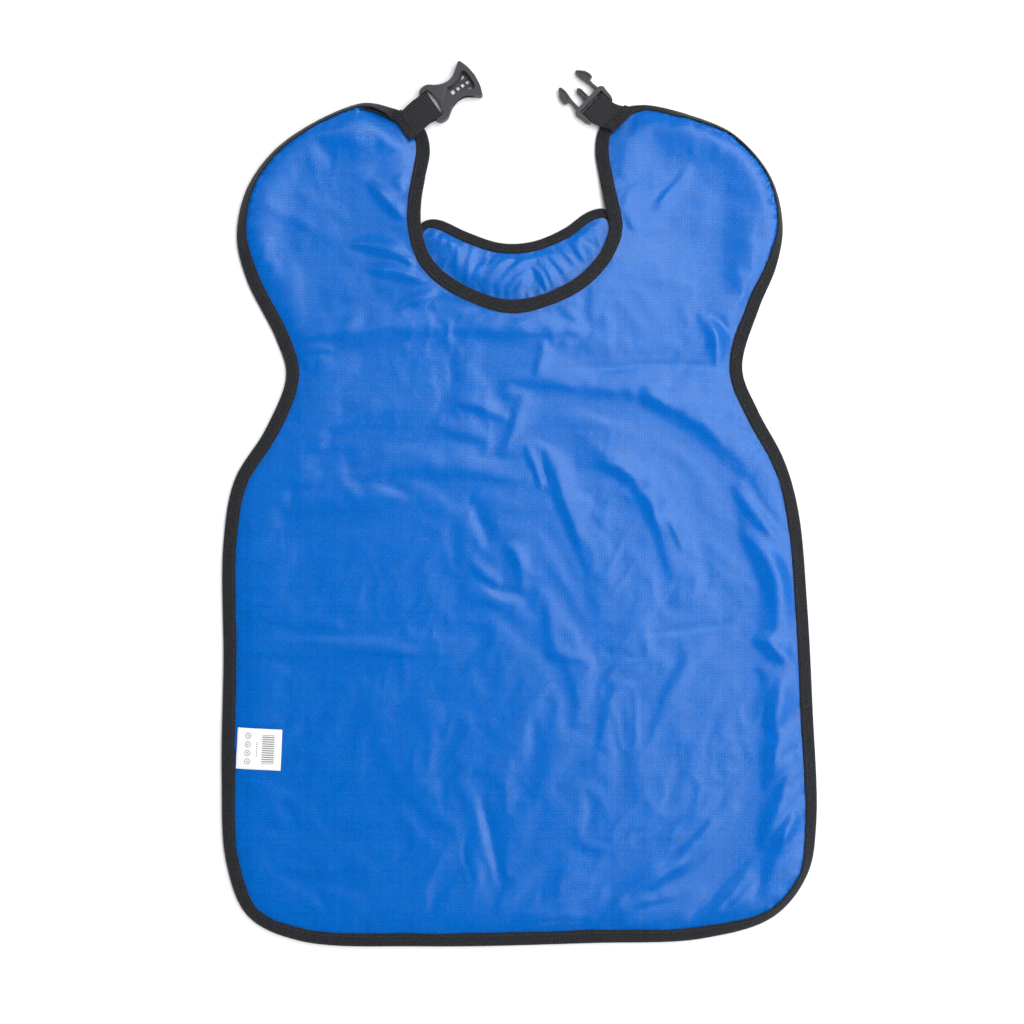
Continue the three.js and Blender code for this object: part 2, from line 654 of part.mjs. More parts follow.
function socket() {
  const through = [-1, BUCKLE_HEIGHT + 1];
  const shell = raised(mirrored(SOCKET_SIDE, SOCKET_FRONT), 0, BUCKLE_HEIGHT, BUCKLE_CHAMFER);
  const mouth = rectangle(MOUTH_REAR, -MOUTH_HALF, BEYOND, MOUTH_HALF);
  const slot = new THREE.Shape();
  slot.moveTo(-BEYOND, -SLOT_HALF);
  slot.lineTo(SLOT_FRONT, -SLOT_HALF);
  slot.quadraticCurveTo(SLOT_FRONT + 2 * SLOT_BOW, 0, SLOT_FRONT, SLOT_HALF);
  slot.lineTo(-BEYOND, SLOT_HALF);
  let made = shell
    .subtract(raised(mouth, BUCKLE_WALL, BUCKLE_HEIGHT - BUCKLE_WALL))
    .subtract(raised(slot, ...through))
    .subtract(raised(mirrored(SOCKET_WINDOW), barHeight, through[1]))
    .add(bar());
  for (const { x, y, half } of SOCKET_HOLES)
    made = made.subtract(raised(rectangle(x - half, y - half, x + half, y + half), through[0], barHeight));
  for (const way of [1, -1]) {
    const { x, y, half } = SOCKET_NICK;
    const nick = new THREE.Shape([
      new THREE.Vector2(x - 2 * half, way * (y - half)),
      new THREE.Vector2(x + half, way * (y - half)),
      new THREE.Vector2(x + half, way * (y + half)),
    ]);
    made = made.subtract(raised(nick, through[0], barHeight));
  }
  return geometryOf(made);
}

function plug() {
  const frame = raised(mirrored(PLUG_SIDE), GAP, BUCKLE_HEIGHT - GAP, BUCKLE_CHAMFER);
  const prongHeights = [barHeight - PRONG_HEIGHT / 2, barHeight + PRONG_HEIGHT / 2];
  let made = frame
    .subtract(raised(rectangle(-BEYOND, -SLOT_HALF, PLUG_REAR, SLOT_HALF), -1, BUCKLE_HEIGHT + 1))
    .add(bar());
  for (const way of [1, -1]) {
    const prong = new THREE.Shape(PRONG.map(({ x, y }) => new THREE.Vector2(x, way * y)));
    made = made.add(raised(prong, ...prongHeights, GAP));
  }
  const guide = new THREE.Shape();
  guide.moveTo(PLUG_REAR + 1, -GUIDE.half);
  guide.lineTo(GUIDE.tip - GUIDE.half, -GUIDE.half);
  guide.absarc(GUIDE.tip - GUIDE.half, 0, GUIDE.half, -Math.PI / 2, Math.PI / 2, false);
  guide.lineTo(PLUG_REAR + 1, GUIDE.half);
  return geometryOf(made.add(raised(guide, ...prongHeights, GAP)));
}

const BUCKLES = { left: ["buckle_socket", socket], right: ["buckle_plug", plug] };
for (const unit of STRAPS) {
  const group = new THREE.Group();
  group.position.set(unit.x, unit.y, 0);
  group.rotation.z = THREE.MathUtils.degToRad(unit.turn);
  const [name, make] = BUCKLES[unit.name];
  add(unit.name + "_strap", strap(unit), webbing, group);
  add(name, make(), plastic, group);
  apron.add(group);
}

// Label: a thin sheet that lies on the cover beside the binding
const labelSheet = new THREE.BoxGeometry(LABEL_WIDTH, LABEL_LENGTH, LABEL, LABEL_CELLS, LABEL_CELLS, 1);
labelSheet.rotateZ(THREE.MathUtils.degToRad(LABEL_TURN)).translate(LABEL_AT.x, LABEL_AT.y, LABEL / 2);
const labelPlace = labelSheet.attributes.position;
for (let i = 0; i < labelPlace.count; i++) {
  const cover = panelTop(labelPlace.getX(i), labelPlace.getY(i));
  labelPlace.setZ(i, labelPlace.getZ(i) + cover + LABEL_CLEAR);
}
add("care_label", labelSheet, satin);

export default apron;
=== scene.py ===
import math
from types import SimpleNamespace

import bmesh
import bpy
import numpy as np
from mathutils import Matrix, Vector, noise
from mathutils.bvhtree import BVHTree
from mathutils.kdtree import KDTree


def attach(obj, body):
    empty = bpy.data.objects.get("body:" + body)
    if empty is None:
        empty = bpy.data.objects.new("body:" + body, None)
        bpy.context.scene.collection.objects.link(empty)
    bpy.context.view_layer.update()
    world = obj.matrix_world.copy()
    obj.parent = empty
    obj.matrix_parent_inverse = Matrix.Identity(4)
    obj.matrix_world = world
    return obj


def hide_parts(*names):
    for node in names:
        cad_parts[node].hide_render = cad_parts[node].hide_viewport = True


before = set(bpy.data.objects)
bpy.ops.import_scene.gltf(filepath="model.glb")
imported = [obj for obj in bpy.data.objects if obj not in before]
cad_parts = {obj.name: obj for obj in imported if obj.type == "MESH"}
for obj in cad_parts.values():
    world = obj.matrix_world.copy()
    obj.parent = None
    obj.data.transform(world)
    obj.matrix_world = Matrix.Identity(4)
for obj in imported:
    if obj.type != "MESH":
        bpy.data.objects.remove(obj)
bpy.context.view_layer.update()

# The table, the light and the camera: the apron lies flat on a white table in a white room, with a long
# softbox up to the right and a weaker one beyond the neckline, and the camera looks straight down on it.
MM = 0.001
scene = bpy.context.scene
scene.view_settings.view_transform = "Standard"

TABLE_RADIUS = 7.0
TABLE_BELOW = 0.3 * MM
TABLE_WHITE = (0.96, 0.96, 0.96, 1)
ROOM_LOW = 2.1  # brightness of the white room near its floor, and overhead
ROOM_HIGH = 0.02


def finish(name, **values):
    """A material with its Principled shader, whose sockets take the given plain values."""
    material = bpy.data.materials.new(name)
    material.use_nodes = True
    shader = material.node_tree.nodes["Principled BSDF"]
    for socket, value in values.items():
        shader.inputs[socket.replace("_", " ")].default_value = value
    return SimpleNamespace(material=material, tree=material.node_tree, shader=shader)


def node(tree, kind, operation=None, **inputs):
    """A node in a tree. Its inputs, named or numbered as i0, i1..., take plain values or other sockets."""
    made = tree.nodes.new("ShaderNode" + kind)
    if operation:
        made.operation = operation
    for name, value in inputs.items():
        socket = made.inputs[int(name[1:])] if name[1:].isdigit() else made.inputs[name.replace("_", " ")]
        if isinstance(value, bpy.types.NodeSocket):
            tree.links.new(value, socket)
        else:
            socket.default_value = value
    return made


def piece(name, mesh_maker, *materials):
    """An object at the origin from a bmesh, smoothly shaded."""
    mesh = bpy.data.meshes.new(name)
    mesh_maker.to_mesh(mesh)
    mesh_maker.free()
    mesh.shade_smooth()
    for material in materials:
        mesh.materials.append(material)
    made = bpy.data.objects.new(name, mesh)
    scene.collection.objects.link(made)
    return made


def softbox(name, at, along, size, radiance):
    """A rectangular light that faces the middle of the table, with its long side along a direction."""
    light = bpy.data.lights.new(name, "AREA")
    light.shape = "RECTANGLE"
    light.size, light.size_y = size
    light.energy = radiance * math.pi * size[0] * size[1]
    lamp = bpy.data.objects.new(name, light)
    back = Vector(at).normalized()
    side = Vector(along)
    side = (side - back * back.dot(side)).normalized()
    turn = Matrix((side, back.cross(side), back)).transposed()
    lamp.matrix_world = Matrix.Translation(at) @ turn.to_4x4()
    scene.collection.objects.link(lamp)


white_table = finish("white_table", Base_Color=TABLE_WHITE, Roughness=0.8)
table_maker = bmesh.new()
bmesh.ops.create_circle(table_maker, cap_ends=True, radius=TABLE_RADIUS, segments=96)
bmesh.ops.translate(table_maker, verts=table_maker.verts[:], vec=(0, 0, -TABLE_BELOW))
table = piece("table", table_maker, white_table.material)

room = bpy.data.worlds.new("room")
room.use_nodes = True
backdrop = room.node_tree.nodes["Background"]
facing = node(room.node_tree, "SeparateXYZ", i0=node(room.node_tree, "TexCoord").outputs["Generated"])
glow = node(
    room.node_tree, "MapRange", Value=facing.outputs["Z"], i1=0.25, i2=0.62, i3=ROOM_LOW, i4=ROOM_HIGH
).outputs[0]
room.node_tree.links.new(glow, backdrop.inputs["Strength"])
backdrop.inputs["Color"].default_value = (1, 1, 1, 1)
scene.world = room
softbox("long_softbox", at=(0.83, 0.28, 2.0), along=(0.19, -0.98, 0), size=(2.8, 1.2), radiance=5.1)
softbox("top_softbox", at=(-0.2, 0.86, 2.2), along=(1, 0, 0), size=(1.7, 0.75), radiance=1.5)

CAMERA_AT = (-6.75 * MM, -6.75 * MM, 1.3)
SEEN_WIDTH = 0.9216  # the table's width across the picture
eye = bpy.data.cameras.new("camera")
eye.sensor_width = 36
eye.lens = eye.sensor_width * CAMERA_AT[2] / SEEN_WIDTH
camera = bpy.data.objects.new("camera", eye)
camera.location = CAMERA_AT
scene.collection.objects.link(camera)
scene.camera = camera

# Apron panel: a sheet of lead vinyl between two layers of blue oxford nylon, sewn together round its edge.
# It lies on its lining, its shoulders are turned down, and the slack cover keeps the folds it was stored in.
# Rows of the edge, anticlockwise, in millimetres: x, y, degrees it is turned down, height off the table.
OUTER_EDGE = [
    (-98, 350.5, 4, 0), (-108.5, 354.8, 20, 0), (-118, 358, 46, 0), (-130, 360.9, 58, 0),
    (-143, 361, 60, 0), (-181, 346, 62, 0),
    (-221, 318.5, 58, 0), (-246, 283, 52, 0), (-254.6, 241, 32, 0), (-245.5, 202, 8, 0), (-218.5, 148, 0, 0),
    (-209.7, 116, 0, 0), (-228, 68, 0, 0), (-256, 22, 0, 0), (-266, -35, 0, 0), (-266, -140, 0, 0),
    (-267.6, -243, 0, 0), (-263.5, -322, 5, 0), (-244, -370, 10, 0), (-198, -392, 5, 0), (-85, -397, 0, 0),
    (65, -394, 0, 0), (165, -390, 10, 0), (229, -370.5, 38, 0), (259.5, -332, 42, 0), (267.2, -285, 20, 0),
    (263.5, -180, 10, 0), (259, -92, 15, 0), (251, -6, 15, 0), (238, 40, 12, 0), (214, 85, 0, 0),
    (200.3, 122, 4, 0), (215, 175, 6, 0), (231.5, 214, 30, 0), (237.2, 250, 60, 0), (226.5, 294, 68, 0),
    (193, 333, 68, 0), (150, 351.5, 58, 0), (120, 358.4, 20, 0), (109, 359, 8, 0), (97, 357.3, 4, 0),
]
COLLAR_STACK = 3.3  # the neck edge lies on the collar, this high
NECK_EDGE = [
    (80, 349, 3, 0), (70.5, 335, 0, 0), (68, 317, 0, 0), (71.5, 294, 0, 1.2), (75.8, 271, 0, COLLAR_STACK),
    (80.3, 248, 0, COLLAR_STACK), (70.5, 223.5, 0, COLLAR_STACK), (44, 199, 0, COLLAR_STACK),
    (-6.5, 183.6, 0, COLLAR_STACK), (-54.9, 200, 0, COLLAR_STACK), (-79.5, 222.3, 0, COLLAR_STACK),
    (-88, 250, 0, COLLAR_STACK), (-88, 271, 0, COLLAR_STACK), (-84.5, 294, 0, 1.2), (-80.5, 318, 0, 0),
    (-84.5, 336, 0, 0),
]
EDGE_STEPS = 14  # stations from one row to the next
BINDING_WIDTH = 12
BINDING_HEIGHT = 4.0
SLIP_AT = (117, 358.8)  # beside the right strap the tape has slipped outwards, and less of it shows
SLIP = 6.5
SLIP_REACH = 26
SEWN_TOP = 2.9  # of the panel's edge inside the binding, above its underside
SEWN_LOW = 1.1
SEWN_LEAN = BINDING_HEIGHT - SEWN_TOP
PANEL = 3.2  # thickness of the panel away from its edges, and its least
LEAST_PANEL = 1.6
PUFF = 1.5  # the cover stands up beside the binding by this much
PUFF_REACH = 16
CURL = 2.4  # more of it where the edge is turned down
CURL_REACH = 7
FLAT_FALL = 18  # width over which a flat edge comes down to the table
ROLL_FALL = 105
CLEAR_OF_OTHER = 16  # and comes clear of the edge on its other side
ROLL_EASE = 26  # beyond this the cover follows the turn of the edge only slowly, and by this share
FAR_RAISE = 0.5
EASED_STATIONS = 42
FOLD_CLEAR = 9  # folds fade out this far from the binding
PUCKER = 0.45  # of the cloth along the seam
PUCKER_WAVE = 5.5
TUCKED = 2  # the panel ends this far inside the binding
COVER_SPACING = 2.2
COVER_SMOOTHING = 60  # rounds
SEAM_SNAP = 0.52  # points this near to the seam or the border, in spacings, move onto it
BORDER_SNAP = 0.9


def edge_line(rows, steps, closed=False):
    """A smooth line through rows, with its inward direction, the rows' values and its running length."""
    rows = np.array(rows, float)
    xy = rows[:, :2]
    count = len(rows) if closed else len(rows) - 1
    if closed:
        padded = np.vstack([xy[-1:], xy, xy[:2]])
    else:
        padded = np.vstack([2 * xy[:1] - xy[1:2], xy, 2 * xy[-1:] - xy[-2:-1]])
    p0, p1, p2, p3 = (padded[k : k + count] for k in range(4))
    d0, d1, d2 = (np.sqrt(np.linalg.norm(b - a, axis=1))[:, None] for a, b in ((p0, p1), (p1, p2), (p2, p3)))
    out = ((p1 - p0) / d0 - (p2 - p0) / (d0 + d1) + (p2 - p1) / d1) * d1
    into = ((p2 - p1) / d1 - (p3 - p1) / (d1 + d2) + (p3 - p2) / d2) * d1
    t = (np.arange(steps) / steps)[None, :, None]
    a, b, c, d = (k[:, None, :] for k in (p1, out, p2, into))
    bent = (2 * t**3 - 3 * t**2 + 1) * a + (t**3 - 2 * t**2 + t) * b
    bent = bent + (3 * t**2 - 2 * t**3) * c + (t**3 - t**2) * d
    at = bent.reshape(-1, 2)
    if not closed:
        at = np.vstack([at, xy[-1:]])
    row_of = np.arange(len(at)) / steps
    ends = np.vstack([rows, rows[:1]]) if closed else rows
    values = [np.interp(row_of, np.arange(len(ends)), ends[:, k]) for k in range(2, rows.shape[1])]
    tangent = np.roll(at, -1, 0) - np.roll(at, 1, 0) if closed else np.gradient(at, axis=0)
    tangent /= np.linalg.norm(tangent, axis=1)[:, None]
    run = np.concatenate([[0], np.cumsum(np.linalg.norm(np.diff(at, axis=0), axis=1))])
    line = SimpleNamespace(at=at, tangent=tangent, inward=tangent[:, ::-1] * (-1, 1), run=run)
    if values:
        line.roll, line.lift = np.radians(values[0]), values[1]
    return line


def part_of(line, start, stop):
    """The stations of a line from one to another."""
    return SimpleNamespace(**{name: value[start:stop] for name, value in vars(line).items()})


def across(line, into, up):
    """Points of sections across an edge: into the cloth from its edge, and up from its underside."""
    plan = into * np.cos(line.roll) + (BINDING_HEIGHT - up) * np.sin(line.roll)
    z = line.lift + into * np.sin(line.roll) + up * np.cos(line.roll)
    return np.column_stack([line.at + line.inward * np.reshape(plan, (-1, 1)), z])


def nearest_tree(line):
    """A search tree over the stations of a line."""
    tree = KDTree(len(line.at))
    for k, (x, y) in enumerate(line.at):
        tree.insert((x, y, 0), k)
    tree.balance()
    return tree


def beside(line, tree, points):
    """The station nearest to each point, and how far inside the edge the point is there."""
    near = np.array([tree.find((x, y, 0))[1] for x, y in points])
    return near, ((points - line.at[near]) * line.inward[near]).sum(1)


def fall(distance, reach):
    """From 1 at an edge smoothly to 0 at a reach from it."""
    t = np.clip(distance / reach, 0, 1)
    return (1 - t) ** 2 * (1 + 2 * t)


def swell(distance, reach):
    """From 0 at a seam up to 1 at a reach from it, and slowly down again."""
    return distance / reach * np.exp(1 - distance / reach)


whole_edge = edge_line(OUTER_EDGE + NECK_EDGE, EDGE_STEPS, closed=True)
slipped = np.exp(-((whole_edge.at - SLIP_AT) ** 2).sum(1) / SLIP_REACH**2)
whole_edge.width = BINDING_WIDTH - SLIP * slipped
neck_start = len(OUTER_EDGE) * EDGE_STEPS
edges = [part_of(whole_edge, 0, neck_start), part_of(whole_edge, neck_start, None)]
edge_trees = [nearest_tree(line) for line in edges]
for line in edges:
    spread = np.pad(line.roll, EASED_STATIONS, mode="edge")
    line.eased_roll = np.convolve(spread, np.hanning(2 * EASED_STATIONS + 1) / EASED_STATIONS, mode="valid")
    line.pucker = np.array([noise.noise((s / PUCKER_WAVE, 3.1, 0.0)) for s in line.run])
whole_tree = nearest_tree(whole_edge)

# Folds of the cover, in millimetres: a line through three points along the steep flank of a fold, which rises
# towards the light, then its height and the widths of its steep and gentle sides. A negative one is a dent.
COVER_FOLDS = [
    # left shoulder
    (-184, 328, -142, 320, -99, 319, 2.6, 7, 14),
    (-187, 319, -178, 314, -166, 305, -0.53, 6, 9),
    (-193, 308, -187, 304, -180, 296, 0.44, 4, 8),
    (-137, 290, -122, 272, -99, 252, 2.8, 5, 7),
    (-115, 292, -109, 285, -103, 276, 1.0, 5, 9),
    (-149, 299, -144, 292, -138, 283, 0.44, 5, 8),
    (-235, 270, -195, 244, -151, 230, 1.6, 11, 18),
    (-158, 233, -122, 225, -90, 212, 3.0, 5, 9),
    (-142, 209, -111, 205, -79, 198, 2.7, 4, 8),
    (-106, 219, -95, 215, -82, 208, 1.5, 3, 5),
    (-113, 174, -89, 181, -72, 192, 2.4, 4, 8),
    (-82, 179, -76, 175, -69, 176, 0.4, 4, 6),
    (-181, 188, -157, 184, -131, 180, 1.2, 12, 18),
    (-238, 238, -232, 227, -226, 218, 0.4, 8, 10),
    # right shoulder
    (152, 307, 130, 278, 109, 259, 1.9, 4, 7),
    (98, 279, 122, 286, 145, 295, 0.6, 2.6, 5),
    (90, 265, 96, 253, 108, 244, 0.94, 4, 7),
    (90, 274, 95, 271, 101, 270, 0.55, 3, 5),
    (188, 292, 193, 225, 184, 152, 1.5, 12, 16),
    (166, 168, 171, 148, 175, 122, 2.6, 6, 8),
    (169, 169, 178, 161, 189, 151, -0.88, 4, 5),
    (111, 238, 110, 231, 108, 222, 0.2, 4, 7),
    (165, 330, 175, 319, 169, 306, 0.44, 4, 6),
    (149, 317, 155, 315, 161, 315, 0.39, 3, 5),
    (153, 283, 158, 261, 153, 234, 0.7, 9, 12),
    (227, 278, 233, 261, 230, 238, 0.8, 4, 6),
    # under the collar
    (-199, 147, -133, 152, -58, 156, 2.3, 7, 14),
    (-64, 155, -4, 152, 63, 153, 2, 6, 12),
    (38, 182, 48, 180, 58, 185, 0.66, 3, 6),
    (36, 171, 46, 167, 56, 163, 0.66, 3.5, 6),
    (37, 156, 49, 153, 62, 150, 0.83, 4, 8),
    (-58, 164, -48, 169, -34, 174, 0.66, 3.5, 6),
    (-46, 159, -39, 162, -31, 165, 0.55, 3.5, 5),
    (-109, 144, -103, 139, -97, 145, 0.3, 5, 8),
    (-72, 168, -68, 162, -63, 157, 0.61, 4, 6),
    # chest
    (-58, 144, -56, 126, -58, 108, 0.98, 4, 6),
    (-66, 143, -63, 119, -65, 101, -0.52, 4, 6),
    (20, 148, 17, 133, 11, 117, 1.8, 4, 7),
    (4, 103, -6, 76, -16, 45, 1.3, 3.5, 7),
    (-60, 90, -34, 83, -9, 73, 1.8, 4.5, 9),
    (-79, 69, -52, 60, -23, 52, 1.04, 5.5, 10),
    (-162, 63, -120, 80, -75, 77, 0.98, 8, 14),
    (-19, 111, 36, 105, 98, 99, 1.6, 5, 12),
    (69, 100, 134, 85, 207, 27, 3.2, 7, 20),
    (33, 119, 108, 122, 188, 123, -0.7, 2.5, 4),
    (-198, 135, -183, 137, -167, 136, 0.59, 3, 5),
    (-198, 127, -193, 126, -187, 122, 0.29, 2.5, 4),
    # belly
    (-140, 23, -72, 29, 0, 17, 1.62, 8, 16),
    (-135, 17, -117, 13, -96, 5, -0.78, 5, 8),
    (-199, -8, -147, -0, -93, -5, 1.37, 10, 18),
    (-50, 13, -39, -16, -28, -41, -1, 6, 8),
    (-66, -9, -63, -36, -59, -63, -0.52, 6, 8),
    (-46, -48, -34, -66, -15, -75, 1.5, 5, 8),
    (-15, -37, -4, -52, -1, -79, 1.8, 6, 9),
    (-37, -68, -18, -81, 6, -83, -1.3, 4, 7),
    (-39, -88, -18, -91, 4, -91, 1.2, 5, 9),
    (51, 33, 103, 15, 135, -70, 2.8, 6, 18),
    (21, 51, 33, 11, 63, -66, 2.4, 5, 14),
    (4, 55, 11, 35, 20, 11, 1.4, 3, 4),
    (15, 38, 23, 22, 34, 8, -0.9, 3, 4),
    (30, 42, 32, 31, 30, 20, 0.39, 3, 4),
    (63, -6, 71, -16, 80, -27, 0.35, 4, 8),
    (130, -11, 140, -28, 145, -45, 1.1, 4, 7),
    (130, -93, 128, -99, 129, -108, 0.25, 4, 7),
    (190, 15, 207, -10, 234, -39, 1.3, 5, 9),
    (199, -27, 221, -64, 226, -122, 3.2, 7, 12),
    (168, -63, 148, -75, 130, -88, 0.8, 5, 8),
    (59, -63, 69, -68, 80, -75, 0.3, 5, 8),
    (20, -133, 42, -140, 67, -141, 1.4, 5, 9),
    (71, -133, 78, -135, 85, -135, -0.5, 2.5, 4),
    (26, -86, 24, -113, 33, -135, 0.9, 5, 8),
    (108, -118, 148, -115, 191, -106, -0.8, 2.5, 5),
    # left side
    (-252, -83, -239, -90, -223, -89, 0.72, 3.5, 5),
    (-251, -96, -235, -103, -221, -106, 0.72, 3.5, 5),
    (-248, -97, -232, -105, -223, -112, -0.52, 2.5, 4),
    (-249, -129, -237, -132, -225, -131, 0.33, 4, 6),
    (-243, -133, -240, -140, -237, -147, -0.25, 2.5, 4),
    (-198, -114, -180, -110, -155, -116, 0.85, 5, 9),
    (-189, -127, -126, -134, -50, -136, 0.98, 4.5, 10),
    (-250, -16, -243, -21, -236, -28, 0.25, 2.5, 4),
    (-160, 51, -157, 33, -154, 11, -0.52, 5, 8),
    (-210, 24, -208, 9, -209, -7, -0.45, 4, 6),
    (-198, 24, -181, 45, -171, 63, -0.39, 5, 8),
    # right side
    (209, -123, 225, -133, 243, -147, 2.2, 6, 9),
    (212, -145, 216, -153, 222, -162, 0.6, 5, 9),
    (235, -153, 225, -187, 231, -207, 3.2, 7, 10),
    (233, -196, 224, -223, 222, -253, 3, 7, 11),
    (243, -237, 236, -246, 227, -257, 0.77, 3.5, 6),
    (237, -250, 225, -273, 217, -309, 2.8, 6.5, 9),
    (243, -271, 231, -300, 213, -351, 2, 6, 9),
    (249, -176, 248, -212, 249, -248, -0.8, 4, 6),
    # lower right
    (209, -316, 184, -348, 154, -373, 2.2, 5, 12),
    (150, -318, 108, -334, 72, -376, 1.9, 6, 12),
    (173, -276, 154, -303, 108.5, -346, 1.4, 5, 10),
    (171, -265, 144.5, -286, 108.5, -301, 1.1, 5, 10),
    (157, -345, 128, -356, 96, -362, 0.9, 4, 7),
    (215, -331, 196, -352, 179, -371, 1, 3.5, 6),
    (245, -274, 238, -287.5, 224, -303, 1.2, 3.5, 6),
    (216, -356, 209, -365, 202, -373, 0.61, 3.5, 5),
    (71, -221, 67, -230, 63, -241, 0.35, 4.5, 8),
    (36, -306, 34, -342, 36, -376, 1.1, 8, 12),
    (130, -136, 128, -144, 127, -153, 0.2, 3.5, 6),
    (148, -127, 139, -154, 125, -178, 0.7, 6, 9),
    (9, -190, 8, -214, 7, -237, -0.7, 6, 9),
    (56, -257, 60, -277, 54, -293, -0.8, 6, 9),
    # lower left
    (-205, -327, -174, -332, -118, -316, 1.17, 7, 13),
    (-115, -264, -93, -260, -68, -256, 0.72, 6, 10),
    (-45, -290, -51, -313, -40, -347, -0.59, 2.2, 3.5),
    (-37, -261, -30, -297, -16, -352, -1.3, 5, 8),
    (-7, -261, 2, -262, 12, -269, -0.44, 4, 6),
    (-247, -257, -243, -261, -237, -268, -0.21, 3, 5),
    (-192, -358, -185, -365, -176, -372, 0.33, 4, 6),
    (-163, -354, -156, -360, -149, -367, 0.33, 4, 6),
    (-5, -372, 33, -375, 72, -376, 1.2, 5, 8),
]
TOWARDS_LIGHT = np.array([0.9, 0.43])
FOLD_STEPS = 18
CREST = 0.7  # the crest lies beyond the steepest line, in widths of the steep side
FOLD_WANDER = 1.7  # how far the folds stray, in long and in short waves
LONG_WAVE = 26
SHORT_WAVE = 9
SHORT_SHARE = 0.35
FOLD_CHANGE = 0.55  # how much their height changes along their way
CHANGE_WAVE = 17
SLOW_SWELL = 0.45  # slack of the whole cover, and the fine creases that come and go on it
FINE_CREASE = 0.35
SWELL_WAVE = 88
CREASE_WAVE = 19
PATCH_WAVE = 62
CREASE_TILT = [[0.92, 0.3], [-0.38, 0.55]]


def wander(points, wave, seed):
    """Smooth noise from about -1 to 1 at points in the plane."""
    return np.array([noise.noise((x / wave, y / wave, seed)) for x, y in points])


def fold_relief(folds, points):
    """Height of all folds together at points of the plane. They wander and change height along their way."""
    drift = [wander(points, LONG_WAVE, k) + SHORT_SHARE * wander(points, SHORT_WAVE, k) for k in (2.2, 5.7)]
    points = points + FOLD_WANDER * np.column_stack(drift)
    strength = 1 + FOLD_CHANGE * wander(points, CHANGE_WAVE, 8.4)
    relief = np.zeros(len(points))
    for *corners, height, steep, gentle in folds:
        start, middle, end = np.array(corners, float).reshape(3, 2)
        t = np.linspace(0, 1, FOLD_STEPS + 1)[:, None]
        bend = 2 * middle - (start + end) / 2
        path = (1 - t) ** 2 * start + 2 * t * (1 - t) * bend + t**2 * end
        reach = 2.5 * gentle + steep
        near = np.flatnonzero(((points > path.min(0) - reach) & (points < path.max(0) + reach)).all(1))
        if not len(near):
            continue
        way = np.diff(path, axis=0)
        away = points[near][:, None, :] - path[None, :-1, :]
        along = np.clip((away * way).sum(2) / (way**2).sum(1), 0, 1)
        foot = away - along[..., None] * way
        best = (foot**2).sum(2).argmin(1)
        pick = np.arange(len(near))
        way_there = way[best] / np.linalg.norm(way[best], axis=1)[:, None]
        foot = foot[pick, best]
        chord = end - start
        side = math.copysign(1, chord[0] * TOWARDS_LIGHT[1] - chord[1] * TOWARDS_LIGHT[0])
        taper = np.sin(np.pi * (best + along[pick, best]) / FOLD_STEPS)
        narrow = 0.6 + 0.4 * taper
        aside = side * (way_there[:, 0] * foot[:, 1] - way_there[:, 1] * foot[:, 0]) - CREST * steep * narrow
        beyond = (way_there * foot).sum(1)
        width = np.where(aside < 0, steep, gentle) * narrow
        relief[near] += height * taper * np.exp(-((aside / width) ** 2) - (beyond / steep) ** 2)
    return relief * strength


def slack_relief(points):
    """Slow swells of the cover, and patches of fine creases on it."""
    tilted = points @ np.array(CREASE_TILT)
    creases = np.clip(1 - 2.2 * np.abs(wander(tilted, CREASE_WAVE, 4.2)), 0, 1) ** 2
    patches = np.clip(0.35 + 1.3 * wander(points, PATCH_WAVE, 9.1), 0, 1)
    return SLOW_SWELL * wander(points, SWELL_WAVE, 1.5) + FINE_CREASE * creases * patches


def cover_and_lining(points):
    """Heights of the panel's upper and lower face at points in the plane, in millimetres."""
    cover = np.full(len(points), float(PANEL))
    lining = np.zeros(len(points))
    under_tape = np.full(len(points), np.inf)
    lining_in_tape = np.full(len(points), np.inf)
    sides = []
    for line, tree in zip(edges, edge_trees):
        near, inside = beside(line, tree, points)
        roll = line.roll[near]
        lean = SEWN_LEAN * np.sin(roll)
        from_seam = inside - line.width[near] * np.cos(roll) - lean
        turned = np.sin(line.eased_roll[near])
        near_edge = fall(np.maximum(from_seam, 0), ROLL_EASE)
        slope = FAR_RAISE * turned * (1 - near_edge) + np.sin(roll) * near_edge
        reach = FLAT_FALL + ROLL_FALL * turned
        pucker = PUCKER * line.pucker[near]
        seam = line.lift[near] + line.width[near] * slope
        margin = line.lift[near] + (inside - lean) / np.cos(roll) * slope
        sides.append((from_seam, slope, reach, seam, margin, pucker))
    for k, (from_seam, slope, reach, seam, margin, pucker) in enumerate(sides):
        level = np.sqrt(1 - slope**2)
        other = 1 - fall(np.maximum(sides[1 - k][0], 0), CLEAR_OF_OTHER)
        gone = np.maximum(from_seam, 0)
        cover += (seam + SEWN_TOP * level - PANEL) * fall(gone, reach) * other
        cover += (PUFF * swell(gone, PUFF_REACH) + (CURL * slope + pucker) * swell(gone, CURL_REACH)) * other
        lining += (seam + SEWN_LOW * level) * fall(gone, reach) * other
        hidden = from_seam < 0
        under_tape[hidden] = np.minimum(under_tape, margin + SEWN_TOP * level)[hidden]
        lining_in_tape[hidden] = np.minimum(lining_in_tape, margin + SEWN_LOW * level)[hidden]
    cover = np.maximum(cover, lining + LEAST_PANEL)
    return np.minimum(cover, under_tape), np.minimum(lining, lining_in_tape)


def apron_relief(points):
    """Folds, creases and swells of the cover, which fade out at its seams."""
    ease = 1.0
    for line, tree in zip(edges, edge_trees):
        near, inside = beside(line, tree, points)
        roll = line.roll[near]
        from_seam = inside - line.width[near] * np.cos(roll) - SEWN_LEAN * np.sin(roll)
        ease = ease * (1 - fall(from_seam, FOLD_CLEAR))
    return (fold_relief(COVER_FOLDS, points) + slack_relief(points)) * ease


